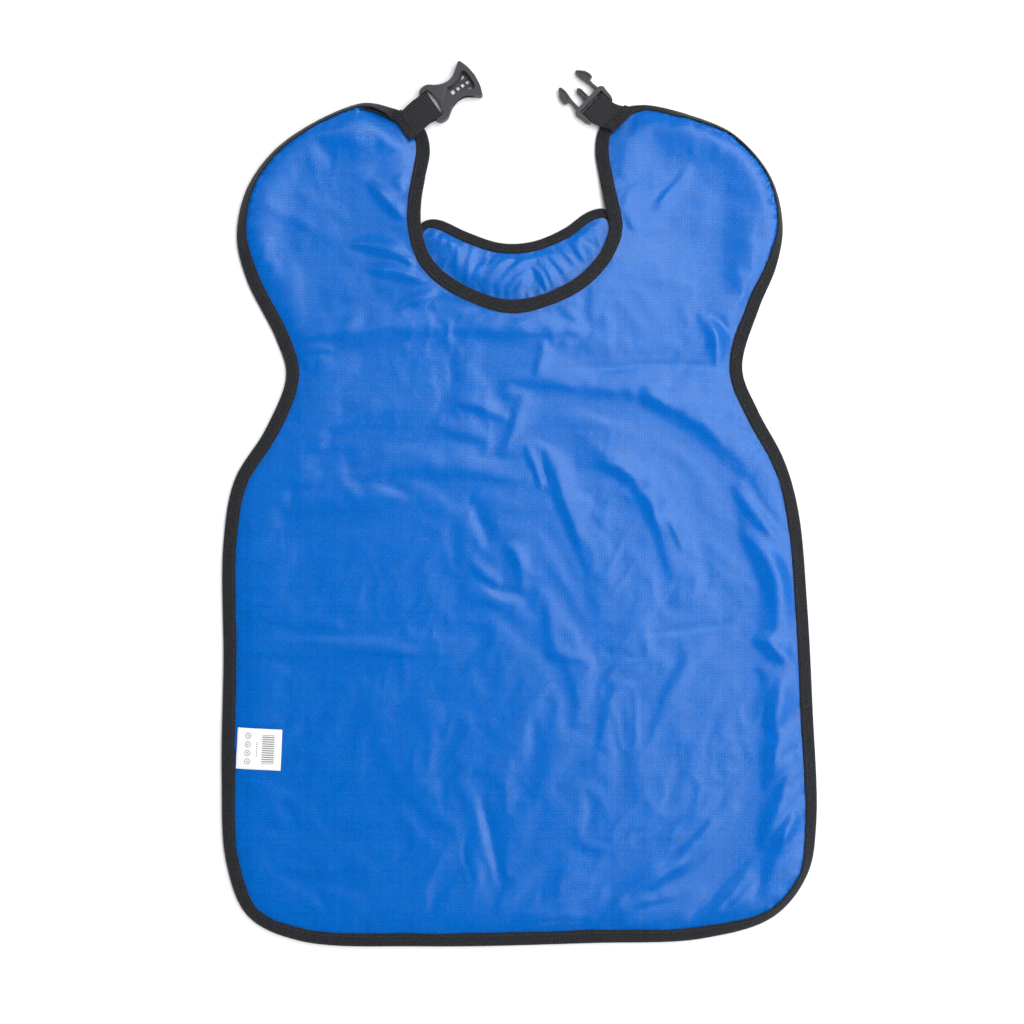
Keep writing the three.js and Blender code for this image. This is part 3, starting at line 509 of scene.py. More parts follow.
COVER_SLACK = 0.002  # share by which the cloth is too large for its seams, how stiffly it bends
COVER_BENDING = 4
CLOTH_SCALE = 0.01  # millimetres to the length unit of the simulation
CLOTH_FRAMES = 14
CLOTH_STEPS = 4
CLOTH_MASS = 0.2
CLOTH_STRETCH = 30
CLOTH_SHEAR = 10
MOST_BUCKLED = 0.5  # the cloth rises or sinks by no more


def buckled(maker, upper, free, slack, bending):
    """How far a pad's upper cloth rises or sinks at its points when it is too large for its seams."""
    maker.verts.index_update()
    marks = [v.index for v in upper]
    layer = maker.copy()
    layer.verts.ensure_lookup_table()
    cloth_points = [layer.verts[k] for k in marks]
    keep = set(cloth_points)
    bmesh.ops.delete(layer, geom=[v for v in layer.verts if v not in keep], context="VERTS")
    bmesh.ops.scale(layer, verts=layer.verts[:], vec=(CLOTH_SCALE, CLOTH_SCALE, CLOTH_SCALE))
    layer.verts.index_update()
    order = np.array([v.index for v in cloth_points])
    loose = {v.index for v in free}
    seams = [int(k) for k, mark in zip(order, marks) if mark not in loose]
    thing = piece("slack_layer", layer)
    thing.vertex_groups.new(name="seams").add(seams, 1, "REPLACE")
    cloth = thing.modifiers.new("cloth", "CLOTH")
    cloth.settings.vertex_group_mass = "seams"
    cloth.settings.mass = CLOTH_MASS
    cloth.settings.quality = CLOTH_STEPS
    cloth.settings.tension_stiffness = cloth.settings.compression_stiffness = CLOTH_STRETCH
    cloth.settings.shear_stiffness = CLOTH_SHEAR
    cloth.settings.bending_stiffness = bending
    cloth.settings.shrink_min = -slack
    cloth.settings.effector_weights.gravity = 0
    cloth.collision_settings.use_collision = False
    cloth.point_cache.frame_end = CLOTH_FRAMES
    before = np.array([v.co.z for v in upper])
    for count in range(1, CLOTH_FRAMES + 1):
        scene.frame_set(count)
    settled = thing.evaluated_get(bpy.context.evaluated_depsgraph_get()).data
    at = np.empty(3 * len(settled.vertices))
    settled.vertices.foreach_get("co", at)
    spent = thing.data
    bpy.data.objects.remove(thing)
    bpy.data.meshes.remove(spent)
    scene.frame_set(1)
    return MOST_BUCKLED * np.tanh((at[2::3][order] / CLOTH_SCALE - before) / MOST_BUCKLED)


def stuffed(low, high, spacing, kept, heights, relief, smoothing, slack, bending):
    """A closed pad: a grid of faces over a box of the plane, kept where wanted, with upper and lower faces.
    Its upper face is smoothed away from the seams, gets its relief, and then buckles as cloth."""
    maker = bmesh.new()
    low, high = np.array(low, float), np.array(high, float)
    cells = np.round((high - low) / spacing).astype(int)
    place = Matrix.Translation((*((low + high) / 2), 0)) @ Matrix.Diagonal((*(high - low), 1, 1))
    bmesh.ops.create_grid(maker, x_segments=int(cells[0]), y_segments=int(cells[1]), size=0.5, matrix=place)
    corners = maker.verts[:]
    points = np.array([corner.co[:2] for corner in corners])
    moved, keep = kept(points)
    for corner, to in zip(corners, moved):
        corner.co.xy = to
    bmesh.ops.delete(maker, geom=[c for c, k in zip(corners, keep) if not k], context="VERTS")
    for _ in range(3):
        loose = [c for c in maker.verts if not c.is_manifold or len(c.link_faces) < 2]
        bmesh.ops.delete(maker, geom=loose, context="VERTS")
    lower = maker.verts[:]
    made = bmesh.ops.extrude_face_region(maker, geom=maker.faces[:])
    upper = [v for v in made["geom"] if isinstance(v, bmesh.types.BMVert)]
    points = np.array([v.co[:2] for v in upper])
    for corner, z in zip(upper, heights(points)[0]):
        corner.co.z = z
    for corner, z in zip(lower, heights(np.array([v.co[:2] for v in lower]))[1]):
        corner.co.z = z
    raised = relief(points)
    free = [v for v, z in zip(upper, raised) if z]
    for _ in range(smoothing):
        bmesh.ops.smooth_vert(maker, verts=free, factor=0.5, use_axis_z=True)
    for corner, z in zip(upper, raised):
        corner.co.z += z
    for corner, z in zip(upper, buckled(maker, upper, free, slack, bending)):
        corner.co.z += z
    bmesh.ops.recalc_face_normals(maker, faces=maker.faces[:])
    bmesh.ops.scale(maker, verts=maker.verts[:], vec=(MM, MM, MM))
    return maker


def apron_cut(points):
    """Grid points on the apron, those near its seam or border moved onto it, and which of them are kept."""
    near, inside = beside(whole_edge, whole_tree, points)
    roll = whole_edge.roll[near]
    lean = SEWN_LEAN * np.sin(roll)
    to_seam = whole_edge.width[near] * np.cos(roll) + lean - inside
    to_border = TUCKED * np.cos(roll) + lean - inside
    step = np.where(np.abs(to_seam) < SEAM_SNAP * COVER_SPACING, to_seam, np.maximum(to_border, 0))
    moved = points + step[:, None] * whole_edge.inward[near]
    return moved, to_border < BORDER_SNAP * COVER_SPACING


def weave_group():
    """Woven threads on any coordinates in metres: their height, where the warp lies on top, and how
    uneven they are."""
    group = bpy.data.node_groups.new("woven_threads", "ShaderNodeTree")
    face = group.interface
    face.new_socket("Coordinates", in_out="INPUT", socket_type="NodeSocketVector")
    for name, value in (("Thread", 0.0007), ("Repeat", 4.0), ("Over", 2.0)):
        face.new_socket(name, in_out="INPUT", socket_type="NodeSocketFloat").default_value = value
    face.new_socket("Height", in_out="OUTPUT", socket_type="NodeSocketFloat")
    face.new_socket("Warp", in_out="OUTPUT", socket_type="NodeSocketFloat")
    face.new_socket("Uneven", in_out="OUTPUT", socket_type="NodeSocketFloat")
    entry = group.nodes.new("NodeGroupInput").outputs
    split = node(group, "SeparateXYZ", i0=entry["Coordinates"])
    counted, profiles = [], []
    for axis in ("X", "Y"):
        threads = node(group, "Math", "DIVIDE", i0=split.outputs[axis], i1=entry["Thread"]).outputs[0]
        counted.append(node(group, "Math", "FLOOR", i0=threads).outputs[0])
        part = node(group, "Math", "FRACT", i0=threads).outputs[0]
        turned = node(group, "Math", "MULTIPLY", i0=part, i1=math.pi).outputs[0]
        profiles.append(node(group, "Math", "SINE", i0=turned).outputs[0])
    step = node(group, "Math", "SUBTRACT", i0=counted[0], i1=counted[1]).outputs[0]
    place = node(group, "Math", "FLOORED_MODULO", i0=step, i1=entry["Repeat"]).outputs[0]
    place = node(group, "Math", "ADD", i0=place, i1=0.5).outputs[0]
    warp = node(group, "Math", "LESS_THAN", i0=place, i1=entry["Over"]).outputs[0]
    across_it = node(group, "Mix", Factor=warp, i2=profiles[1], i3=profiles[0]).outputs[0]
    along_it = node(group, "Mix", Factor=warp, i2=profiles[0], i3=profiles[1]).outputs[0]
    bulge = node(group, "Math", "MULTIPLY_ADD", i0=along_it, i1=0.6, i2=0.4).outputs[0]
    raised = node(group, "Math", "MULTIPLY", i0=across_it, i1=bulge).outputs[0]
    crossing = node(group, "CombineXYZ", i0=counted[0], i1=counted[1]).outputs[0]
    uneven = node(group, "TexWhiteNoise", Vector=crossing).outputs["Value"]
    uneven = node(group, "Math", "MULTIPLY", i0=uneven, i1=0.6).outputs[0]
    for count in counted:
        along_thread = node(group, "CombineXYZ", i0=count, i2=7.0).outputs[0]
        slub = node(group, "TexWhiteNoise", Vector=along_thread).outputs["Value"]
        uneven = node(group, "Math", "MULTIPLY_ADD", i0=slub, i1=0.2, i2=uneven).outputs[0]
    leave = group.nodes.new("NodeGroupOutput").inputs
    group.links.new(raised, leave["Height"])
    group.links.new(warp, leave["Warp"])
    group.links.new(uneven, leave["Uneven"])
    return group


def placed_group(tree, group, **inputs):
    """A node group in a tree. Its inputs take plain values or other sockets."""
    made = tree.nodes.new("ShaderNodeGroup")
    made.node_tree = group
    for name, value in inputs.items():
        if isinstance(value, bpy.types.NodeSocket):
            tree.links.new(value, made.inputs[name])
        else:
            made.inputs[name].default_value = value
    return made


def mixed(tree, factor, first, second):
    """A colour between two others."""
    blend = tree.nodes.new("ShaderNodeMix")
    blend.data_type = "RGBA"
    for socket, value in ((blend.inputs[0], factor), (blend.inputs[6], first), (blend.inputs[7], second)):
        if isinstance(value, bpy.types.NodeSocket):
            tree.links.new(value, socket)
        else:
            socket.default_value = value
    return blend.outputs[2]


woven_threads = weave_group()

NYLON_THREAD = 0.00138
NYLON_WARP = (0.001, 0.149, 0.565, 1)
NYLON_WEFT = (0.0003, 0.081, 0.413, 1)
nylon = finish("blue_oxford_nylon", Specular_IOR_Level=0.35, Specular_Tint=(0.86, 0.98, 1, 1))
where = node(nylon.tree, "TexCoord").outputs["Object"]
threads = placed_group(
    nylon.tree, woven_threads, Coordinates=where, Thread=NYLON_THREAD, Repeat=2.0, Over=1.0
)
mottle = node(nylon.tree, "TexNoise", Vector=where, Scale=38.0, Detail=4.0).outputs[0]
tone = node(nylon.tree, "MapRange", Value=mottle, i1=0.3, i2=0.7, i3=-0.06, i4=0.06).outputs[0]
weft_or_warp = node(nylon.tree, "Math", "ADD", i0=threads.outputs["Warp"], i1=tone)
weft_or_warp.use_clamp = True
shade = mixed(nylon.tree, weft_or_warp.outputs[0], NYLON_WEFT, NYLON_WARP)
strength = node(nylon.tree, "MapRange", Value=threads.outputs["Uneven"], i3=0.83, i4=1.17).outputs[0]
shade = node(nylon.tree, "VectorMath", "SCALE", i0=shade, Scale=strength).outputs[0]
nylon.tree.links.new(shade, nylon.shader.inputs["Base Color"])
rough = node(nylon.tree, "MapRange", Value=mottle, i1=0.3, i2=0.7, i3=0.2, i4=0.26).outputs[0]
nylon.tree.links.new(rough, nylon.shader.inputs["Roughness"])
fibres = node(nylon.tree, "TexNoise", Vector=where, Scale=4200.0, Detail=1.0).outputs[0]
soft = node(nylon.tree, "Bump", Strength=0.3, Distance=0.00009, Height=fibres).outputs[0]
bump = node(
    nylon.tree, "Bump", Strength=0.3, Distance=0.00018, Height=threads.outputs["Height"], Normal=soft
)
nylon.tree.links.new(bump.outputs[0], nylon.shader.inputs["Normal"])

panel_maker = stuffed(
    (-270, -400), (270, 364), COVER_SPACING, apron_cut, cover_and_lining, apron_relief, COVER_SMOOTHING,
    COVER_SLACK, COVER_BENDING,
)
cover_tree = BVHTree.FromBMesh(panel_maker)
apron = piece("apron", panel_maker, nylon.material)
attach(apron, "root")
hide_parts("apron_panel")

# Edge binding: woven polyester tape folded over the panel's edge and sewn down with one row of lockstitch.
# One length goes round the outside and one round the neck, and they meet under the straps.
TAPE = 0.8
TAPE_WAVER = 0.45  # how far the tape's inner edge wanders from its true width
TAPE_RIPPLE = 0.18
STITCH_INSET = 2.3  # from the inner edge of the tape
STITCH_PITCH = 3.1
STITCH_STATIONS = 6
STITCH_THICK = 0.42
STITCH_UPPER = 0.08  # its rows lie this high on the tape, and on its lower layer
STITCH_UNDER = 0.3


def tape_profile(width, height):
    """Points round the section of a folded tape: how far in, and how far up."""
    top = height
    return [
        (width, top - TAPE), (width + 0.12, top - 0.4), (width - 0.1, top - 0.04), (width * 0.8, top + 0.05),
        (width * 0.5, top + 0.1), (2.2, top + 0.02), (1.2, top - 0.22), (0.5, top - 0.7), (0.1, top - 1.3),
        (0, top / 2), (0.1, 1.3), (0.5, 0.7), (1.2, 0.22), (2.2, 0), (width * 0.5, 0), (width, 0),
        (width, TAPE), (2.4, TAPE), (1.4, 1.25), (1.1, top / 2), (1.4, top - 1.25), (2.4, top - TAPE),
    ]


def grid_cloth(sections):
    """A skin of faces through equal sections. Its UVs are the length along it and the way round it."""
    along, around = len(sections) - 1, len(sections[0]) - 1
    maker = bmesh.new()
    maker.loops.layers.uv.new("cut")
    bmesh.ops.create_grid(maker, x_segments=along, y_segments=around, size=0.5, calc_uvs=True)
    for corner in maker.verts:
        i, j = round((corner.co.x + 0.5) * along), round((corner.co.y + 0.5) * around)
        corner.co = Vector(sections[i][j]) * MM
    return maker


def sewn_up(maker):
    """Joins the long edges of a rolled skin, caps its ends and turns its faces outwards."""
    bmesh.ops.remove_doubles(maker, verts=maker.verts[:], dist=1e-7)
    bmesh.ops.holes_fill(maker, edges=[e for e in maker.edges if e.is_boundary], sides=0)
    bmesh.ops.recalc_face_normals(maker, faces=maker.faces[:])
    return maker


def waver(run, seed, wave):
    """A smooth wandering value from -1 to 1 along a length."""
    return np.array([noise.noise((s / wave, seed * 7.3, 0.0)) * 1.6 for s in run])


def folded_tape(line, width, height, seed):
    """Tape round an edge. Its inner edge and its height wander a little, as sewn tape does."""
    edge_waver = TAPE_WAVER * (waver(line.run, seed, 34) + 0.5 * waver(line.run, seed + 1, 9))
    ripple = TAPE_RIPPLE * waver(line.run, seed + 2, 7)
    rings = []
    for into, up in tape_profile(width, height):
        share = into / width
        upper = up > height / 2
        rings.append(across(line, share * (line.width + edge_waver * upper), up + ripple * share * upper))
    rings.append(rings[0])
    return sewn_up(grid_cloth(np.array(rings).transpose(1, 0, 2)))


def stitch_row(path, lift=(0, 0, 1)):
    """A row of lockstitch along a line of points: one thread that goes over the cloth and dips into it."""
    run = np.concatenate([[0], np.cumsum(np.linalg.norm(np.diff(path, axis=0), axis=1))])
    marks = np.arange(0, run[-1], STITCH_PITCH / STITCH_STATIONS)
    at = np.column_stack([np.interp(marks, run, path[:, k]) for k in range(3)])
    way = np.gradient(at, axis=0)
    side = np.cross(lift, way)
    side /= np.linalg.norm(side, axis=1)[:, None]
    up = np.cross(way, side)
    up /= np.linalg.norm(up, axis=1)[:, None]
    dip = STITCH_THICK * (0.9 * np.abs(np.cos(math.pi * marks / STITCH_PITCH)) ** 0.6 - 0.75)[:, None]
    turns = np.linspace(0, 2 * math.pi, 6)
    rings = [at + up * dip + STITCH_THICK / 2 * (side * math.cos(a) + up * math.sin(a)) for a in turns]
    return sewn_up(grid_cloth(np.array(rings).transpose(1, 0, 2)))


TAPE_THREAD = 0.0006
# TAPE_DARK is the tape's black in painted shade between its threads; TAPE_LIGHT is a painted highlight on
# their tops and the tape's own lighter lint.
TAPE_DARK = (0.006, 0.0065, 0.0085, 1)
TAPE_LIGHT = (0.034, 0.036, 0.043, 1)
tape = finish("black_binding_tape", Specular_IOR_Level=0.14, Sheen_Weight=0.06, Sheen_Roughness=0.5)
cut = node(tape.tree, "UVMap").outputs[0]
tape_size = node(tape.tree, "Mapping", Vector=cut, Scale=(2.6, 0.031, 1)).outputs[0]
tape_threads = placed_group(
    tape.tree, woven_threads, Coordinates=tape_size, Thread=TAPE_THREAD, Repeat=2.0, Over=1.0
)
tape_at = node(tape.tree, "TexCoord").outputs["Object"]
lint = node(tape.tree, "TexNoise", Vector=tape_at, Scale=700.0, Detail=3.0)
linty = node(tape.tree, "MapRange", Value=lint.outputs[0], i1=0.35, i2=0.7, i3=-0.35, i4=0.5).outputs[0]
# Painted light on the weave: the tape is lighter where its threads stand high, a painted highlight on their
# tops, and darker between them, a painted shade. The lint noise adds the tape's own lighter fuzz.
lit_thread_tops_and_lint = node(tape.tree, "Math", "MULTIPLY_ADD", i0=tape_threads.outputs["Height"], i1=0.6, i2=linty)
lit_thread_tops_and_lint.use_clamp = True
shade = mixed(tape.tree, lit_thread_tops_and_lint.outputs[0], TAPE_DARK, TAPE_LIGHT)
tape.tree.links.new(shade, tape.shader.inputs["Base Color"])
rough = node(tape.tree, "MapRange", Value=lint.outputs[0], i3=0.6, i4=0.85).outputs[0]
tape.tree.links.new(rough, tape.shader.inputs["Roughness"])
bump = node(tape.tree, "Bump", Strength=0.6, Distance=0.00015, Height=tape_threads.outputs["Height"])
tape.tree.links.new(bump.outputs[0], tape.shader.inputs["Normal"])

thread = finish("black_thread", Base_Color=(0.02, 0.02, 0.023, 1), Specular_IOR_Level=0.4)
twist = node(thread.tree, "TexWave", Vector=node(thread.tree, "TexCoord").outputs["Object"], Scale=900.0)
rough = node(thread.tree, "MapRange", Value=twist.outputs[1], i3=0.45, i4=0.7).outputs[0]
thread.tree.links.new(rough, thread.shader.inputs["Roughness"])

binding_names = ("outer_binding", "neck_binding")
lines = (part_of(whole_edge, 0, neck_start + 1), part_of(whole_edge, neck_start, None))
for seed, (name, line) in enumerate(zip(binding_names, lines)):
    bound = piece(name + "_tape", folded_tape(line, BINDING_WIDTH, BINDING_HEIGHT, 3 * seed), tape.material)
    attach(bound, "root")
    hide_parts(name)
    sewing = []
    for place, up in (("upper", BINDING_HEIGHT + STITCH_UPPER), ("under", STITCH_UNDER)):
        row = stitch_row(across(line, line.width - STITCH_INSET, up))
        sewing.append(piece(f"{name}_{place}_stitches", row, thread.material))
        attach(sewing[-1], "root")

# Neck collar: a crescent pad of the same nylon over a soft core, sewn in behind the neckline. Its free upper
# edge is bound with a narrower tape, which turns round both tips and goes under the neck binding.
COLLAR_TOP = [
    (87.8, 246, 0, 0), (86.5, 255.5, 0, 0), (82, 262.6, 0, 0), (75.2, 265.8, 0, 0), (68, 265.2, 0, 0),
    (58, 261, 0, 0), (40, 248, 0, 0), (12, 236.3, 0, 0), (-16, 234.8, 0, 0), (-47, 244.8, 0, 0),
    (-64, 252.8, 0, 0), (-71.6, 255.6, 0, 0), (-78.8, 256.4, 0, 0), (-85.5, 254.6, 0, 0),
    (-90.5, 250.6, 0, 0), (-95, 245.5, 0, 0),
]
COLLAR_TAPE_WIDTH = 9
COLLAR_TIP_WIDTH = 7.2  # towards the tips the tape is narrower and lower
COLLAR_TIP_REACH = 42
COLLAR_TIP_END = 14
COLLAR_TIP_LOWER = 0.95
COLLAR_WAVER = 0.3
COLLAR_WAVE = 28
COLLAR_STEPS = 12
COLLAR_SPACING = 1.5
COLLAR_SMOOTHING = 8
COLLAR_SLACK = 0.012
COLLAR_BENDING = 14
COLLAR_TUCK = 7  # under the neck binding
COLLAR_PUFF = 1.5
COLLAR_LEAST = 1.2  # thickness
NECK_SEAM = 0.5
COLLAR_NECK_FALL = 13  # the pad comes down over these widths to the neckline, to its tape and below
COLLAR_TAPE_FALL = 6
COLLAR_LOW_FALL = 12
WRINKLE_CLEAR = 5  # wrinkles fade out this far from the seams
COLLAR_FOLDS = [
    (-45, 226, -48, 213, -50, 199, 0.9, 2.3, 6),
    (-29, 219, -37, 211, -42, 201, 0.9, 2.3, 6),
    (-3, 225, -22, 214, -33, 197, 1.1, 2.3, 6),
    (14, 221, -5, 214, -24, 194, 1.1, 2.2, 5),
    (15, 209, 0, 206, -15, 191, 1.0, 2.2, 5),
    (12, 201, 3, 200, -6, 190, 0.8, 2, 4),
    (14, 218, 24, 207, 31, 194, 1.1, 2.2, 6),
    (9, 212, 18, 203, 24, 190, 0.9, 2.2, 5),
    (23, 226, 34, 213, 44, 203, 1.0, 2.3, 6),
    (46, 237, 53, 224, 63, 213, 1.3, 3.2, 7),
    (36, 232, 43, 221, 53, 210, 0.6, 2, 5),
    (-63, 242, -64, 232, -61, 221, 0.8, 2.3, 7),
    (-55, 235, -58, 222, -57, 210, 0.9, 2.3, 6),
    (-71, 243, -73, 236, -73, 228, 0.6, 2.3, 7),
    (-17, 224, -26, 217, -32, 209, 0.7, 2, 5),
    (66, 247, 69, 238, 73, 230, 0.5, 2.3, 6),
]
collar_edge = edge_line(COLLAR_TOP, COLLAR_STEPS)
collar_tree = nearest_tree(collar_edge)


def collar_cut(points):
    """Grid points of the collar, and which are kept: from its bound edge to under the neck binding."""
    _, below = beside(collar_edge, collar_tree, points)
    _, past_neck = beside(edges[1], edge_trees[1], points)
    return points, (below > TUCKED) & (past_neck < COLLAR_TUCK)


def collar_heights(points):
    """Heights of the collar's upper and lower face."""
    _, below = beside(collar_edge, collar_tree, points)
    _, past_neck = beside(edges[1], edge_trees[1], points)
    from_tape = np.maximum(below - COLLAR_TAPE_WIDTH, 0)
    from_neck = np.maximum(-past_neck - NECK_SEAM, 0)
    room = (1 - fall(from_neck, COLLAR_NECK_FALL)) * np.clip(from_tape / COLLAR_TAPE_FALL, 0, 1)
    top = SEWN_TOP + COLLAR_PUFF * room
    bottom = SEWN_LOW * np.maximum(fall(from_tape, COLLAR_LOW_FALL), fall(from_neck, COLLAR_LOW_FALL))
    return np.maximum(top, bottom + COLLAR_LEAST), bottom


def collar_relief(points):
    """Wrinkles of the collar, which fade out at its seams."""
    _, below = beside(collar_edge, collar_tree, points)
    _, past_neck = beside(edges[1], edge_trees[1], points)
    ease = 1 - fall(-past_neck - NECK_SEAM, WRINKLE_CLEAR)
    ease = ease * (1 - fall(below - COLLAR_TAPE_WIDTH, WRINKLE_CLEAR))
    return fold_relief(COLLAR_FOLDS, points) * ease


collar_maker = stuffed(
    (-96, 174), (92, 270), COLLAR_SPACING, collar_cut, collar_heights, collar_relief, COLLAR_SMOOTHING,
    COLLAR_SLACK, COLLAR_BENDING,
)
collar = piece("collar", collar_maker, nylon.material)
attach(collar, "root")
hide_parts("collar_panel")

tips = np.minimum(collar_edge.run, collar_edge.run[-1] - collar_edge.run)
narrow = fall(tips, COLLAR_TIP_REACH)
collar_width = COLLAR_TAPE_WIDTH + (COLLAR_TIP_WIDTH - COLLAR_TAPE_WIDTH) * narrow
tucked_tip = fall(np.maximum(tips - COLLAR_TIP_END, 0), COLLAR_TIP_END)
collar_height = BINDING_HEIGHT - COLLAR_TIP_LOWER * tucked_tip
rings = []
edge_waver = COLLAR_WAVER * waver(collar_edge.run, 11, COLLAR_WAVE)
for into, up in tape_profile(COLLAR_TAPE_WIDTH, BINDING_HEIGHT):
    share = into / COLLAR_TAPE_WIDTH
    rings.append(across(
        collar_edge, share * (collar_width + edge_waver * (up > BINDING_HEIGHT / 2)),
        up * collar_height / BINDING_HEIGHT,
    ))
rings.append(rings[0])
collar_tape = piece(
    "collar_tape", sewn_up(grid_cloth(np.array(rings).transpose(1, 0, 2))), tape.material
)
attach(collar_tape, "root")
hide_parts("collar_binding")
sewn_length = slice(2 * COLLAR_STEPS, -3 * COLLAR_STEPS)
row = across(collar_edge, collar_width - STITCH_INSET, BINDING_HEIGHT + STITCH_UPPER)[sewn_length]
collar_sewing = piece("collar_stitches", stitch_row(row), thread.material)
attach(collar_sewing, "root")

# Care label: a square of white satin, caught by its left edge under the binding and lying on the cover.
# Its print is only plain rings, dots and evenly spaced bars.
LABEL_AT = np.array([-233.6, -219.4])
LABEL_SIZE = np.array([40.2, 36.8])
LABEL_TURN = math.radians(-2.8)
LABEL_THICK = 0.35
LABEL_CLEAR = 0.35
LABEL_CELLS = 28
LABEL_CURL = 0.9  # the free corners stand up a little

label_maker = bmesh.new()
label_turn = Matrix.Rotation(LABEL_TURN, 4, "Z")
label_place = Matrix.Translation((*LABEL_AT, 0)) @ label_turn @ Matrix.Diagonal((*LABEL_SIZE, 1, 1))
bmesh.ops.create_grid(label_maker, x_segments=LABEL_CELLS, y_segments=LABEL_CELLS, size=0.5)
label_uv = [(v.co.x + 0.5, v.co.y + 0.5) for v in label_maker.verts]
bmesh.ops.transform(label_maker, matrix=label_place, verts=label_maker.verts[:])
for corner, (u, v) in zip(label_maker.verts, label_uv):
    over = Vector((corner.co.x * MM, corner.co.y * MM, 1))
    resting = cover_tree.ray_cast(over, Vector((0, 0, -1)))[0].z / MM
    corner.co.z = resting + LABEL_CLEAR + LABEL_CURL * max(u - 0.45, 0) ** 2 * (1 + 2 * abs(v - 0.5))
made = bmesh.ops.extrude_face_region(label_maker, geom=label_maker.faces[:])
bmesh.ops.translate(
    label_maker, verts=[v for v in made["geom"] if isinstance(v, bmesh.types.BMVert)], vec=(0, 0, LABEL_THICK)
)
bmesh.ops.recalc_face_normals(label_maker, faces=label_maker.faces[:])
bmesh.ops.scale(label_maker, verts=label_maker.verts[:], vec=(MM, MM, MM))

SATIN_WHITE = (0.86, 0.86, 0.85, 1)
PRINT_GREY = (0.06, 0.06, 0.06, 1)
satin = finish("white_label_satin", Sheen_Weight=0.15, Specular_IOR_Level=0.45)
label_nodes = satin.tree
where = node(label_nodes, "TexCoord").outputs["Object"]
mapping = node(
    label_nodes, "Mapping", Vector=where, Location=(*(LABEL_AT * MM), 0), Rotation=(0, 0, LABEL_TURN),
    Scale=(MM, MM, 1),
)
mapping.vector_type = "TEXTURE"
local = node(label_nodes, "SeparateXYZ", i0=mapping.outputs[0]).outputs


def between(value, low, high):
    """1 where a value lies between two others."""
    middle, half = (low + high) / 2, (high - low) / 2
    off = node(label_nodes, "Math", "SUBTRACT", i0=value, i1=middle).outputs[0]
    size = node(label_nodes, "Math", "ABSOLUTE", i0=off).outputs[0]
    return node(label_nodes, "Math", "LESS_THAN", i0=size, i1=half).outputs[0]


def all_of(*masks):
    """1 where all masks are 1."""
    result = masks[0]
    for mask in masks[1:]:
        result = node(label_nodes, "Math", "MULTIPLY", i0=result, i1=mask).outputs[0]
    return result


def any_of(*masks):
    """The greatest of the masks."""
    result = masks[0]
    for mask in masks[1:]:
        result = node(label_nodes, "Math", "MAXIMUM", i0=result, i1=mask).outputs[0]
    return result


def repeated(value, pitch):
    """Distance from the middle of the nearest of evenly spaced cells."""
    part = node(label_nodes, "Math", "FLOORED_MODULO", i0=value, i1=pitch).outputs[0]
    return node(label_nodes, "Math", "SUBTRACT", i0=part, i1=pitch / 2).outputs[0]


def radius_of(x, y):
    """Distance from the origin of a plane."""
    square_x = node(label_nodes, "Math", "MULTIPLY", i0=x, i1=x).outputs[0]
    square = node(label_nodes, "Math", "MULTIPLY_ADD", i0=y, i1=y, i2=square_x).outputs[0]
    return node(label_nodes, "Math", "SQRT", i0=square).outputs[0]


BAR_PITCH = 2.0  # bars, rings and dots, in millimetres from the label's middle
BARS_FROM, BARS_TO = 2.6, 13.6
BARS_HALF = 13
BAR_HALF = 0.5
RING_PITCH = 7.6
RINGS_AT = 10.2
RINGS_HALF = 15.2
RING_INNER, RING_OUTER = 2.0, 2.6
RING_CORE = 0.7
DOT_PITCH = 1.7
DOTS_AT = 1.9
DOTS_HALF = 6.8
DOT_RADIUS = 0.5
INK = 0.82
bars = all_of(
    between(local[0], BARS_FROM, BARS_TO), between(local[1], -BARS_HALF, BARS_HALF),
    between(repeated(local[1], BAR_PITCH), -BAR_HALF, BAR_HALF),
)
ring_x = node(label_nodes, "Math", "ADD", i0=local[0], i1=RINGS_AT).outputs[0]
ring = radius_of(ring_x, repeated(local[1], RING_PITCH))
ring_and_core = any_of(between(ring, RING_INNER, RING_OUTER), between(ring, -1, RING_CORE))
ring_row = all_of(ring_and_core, between(local[1], -RINGS_HALF, RINGS_HALF))
dot_x = node(label_nodes, "Math", "ADD", i0=local[0], i1=DOTS_AT).outputs[0]
dot = radius_of(dot_x, repeated(local[1], DOT_PITCH))
dots = all_of(between(dot, -1, DOT_RADIUS), between(local[1], -DOTS_HALF, DOTS_HALF))
inked = any_of(bars, ring_row, dots)
satin_threads = placed_group(
    label_nodes, woven_threads, Coordinates=where, Thread=0.0003, Repeat=5.0, Over=4.0
)
faint = node(label_nodes, "Math", "MULTIPLY", i0=inked, i1=INK).outputs[0]
shade = mixed(label_nodes, faint, SATIN_WHITE, PRINT_GREY)
label_nodes.links.new(shade, satin.shader.inputs["Base Color"])
gloss = node(label_nodes, "MapRange", Value=inked, i3=0.42, i4=0.6).outputs[0]
label_nodes.links.new(gloss, satin.shader.inputs["Roughness"])
bump = node(label_nodes, "Bump", Strength=0.25, Distance=0.00006, Height=satin_threads.outputs["Height"])
label_nodes.links.new(bump.outputs[0], satin.shader.inputs["Normal"])
label = piece("label", label_maker, satin.material)
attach(label, "root")
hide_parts("care_label")

# Straps: a length of ribbed polypropylene webbing on each shoulder, folded round the bar of its buckle half.
# Its two ends are sewn to the shoulder together, under a strip of tape.
STRAPS = {
    "left": SimpleNamespace(
        at=(-79.3, 357.2), turn=34.5, reach=32.4, shift=-1.4, lean=-0.2, sewn=20, seat=5.1
    ),
    "right": SimpleNamespace(
        at=(67.3, 357.4), turn=136, reach=27.6, shift=-7.4, lean=0.06, sewn=16, seat=5.4
    ),
}
BAR_HEIGHT = 4.2
BAR_RADIUS = 2.2
WEBBING_WIDTH = 25.4
WEBBING = 1.5
STRAP_HELD = 8.5  # the buckle keeps the strap straight for this length behind its bar
SEWN_GAP = 0.3
RIBS = 36  # on the whole length of a strap
RIB_RISE = 0.4
RIB_STEP = 0.33
STRIP_WIDTH = 8.2
STRIP_LONGER = 1.1  # on each side of the webbing
STRIP_THICK = 0.55


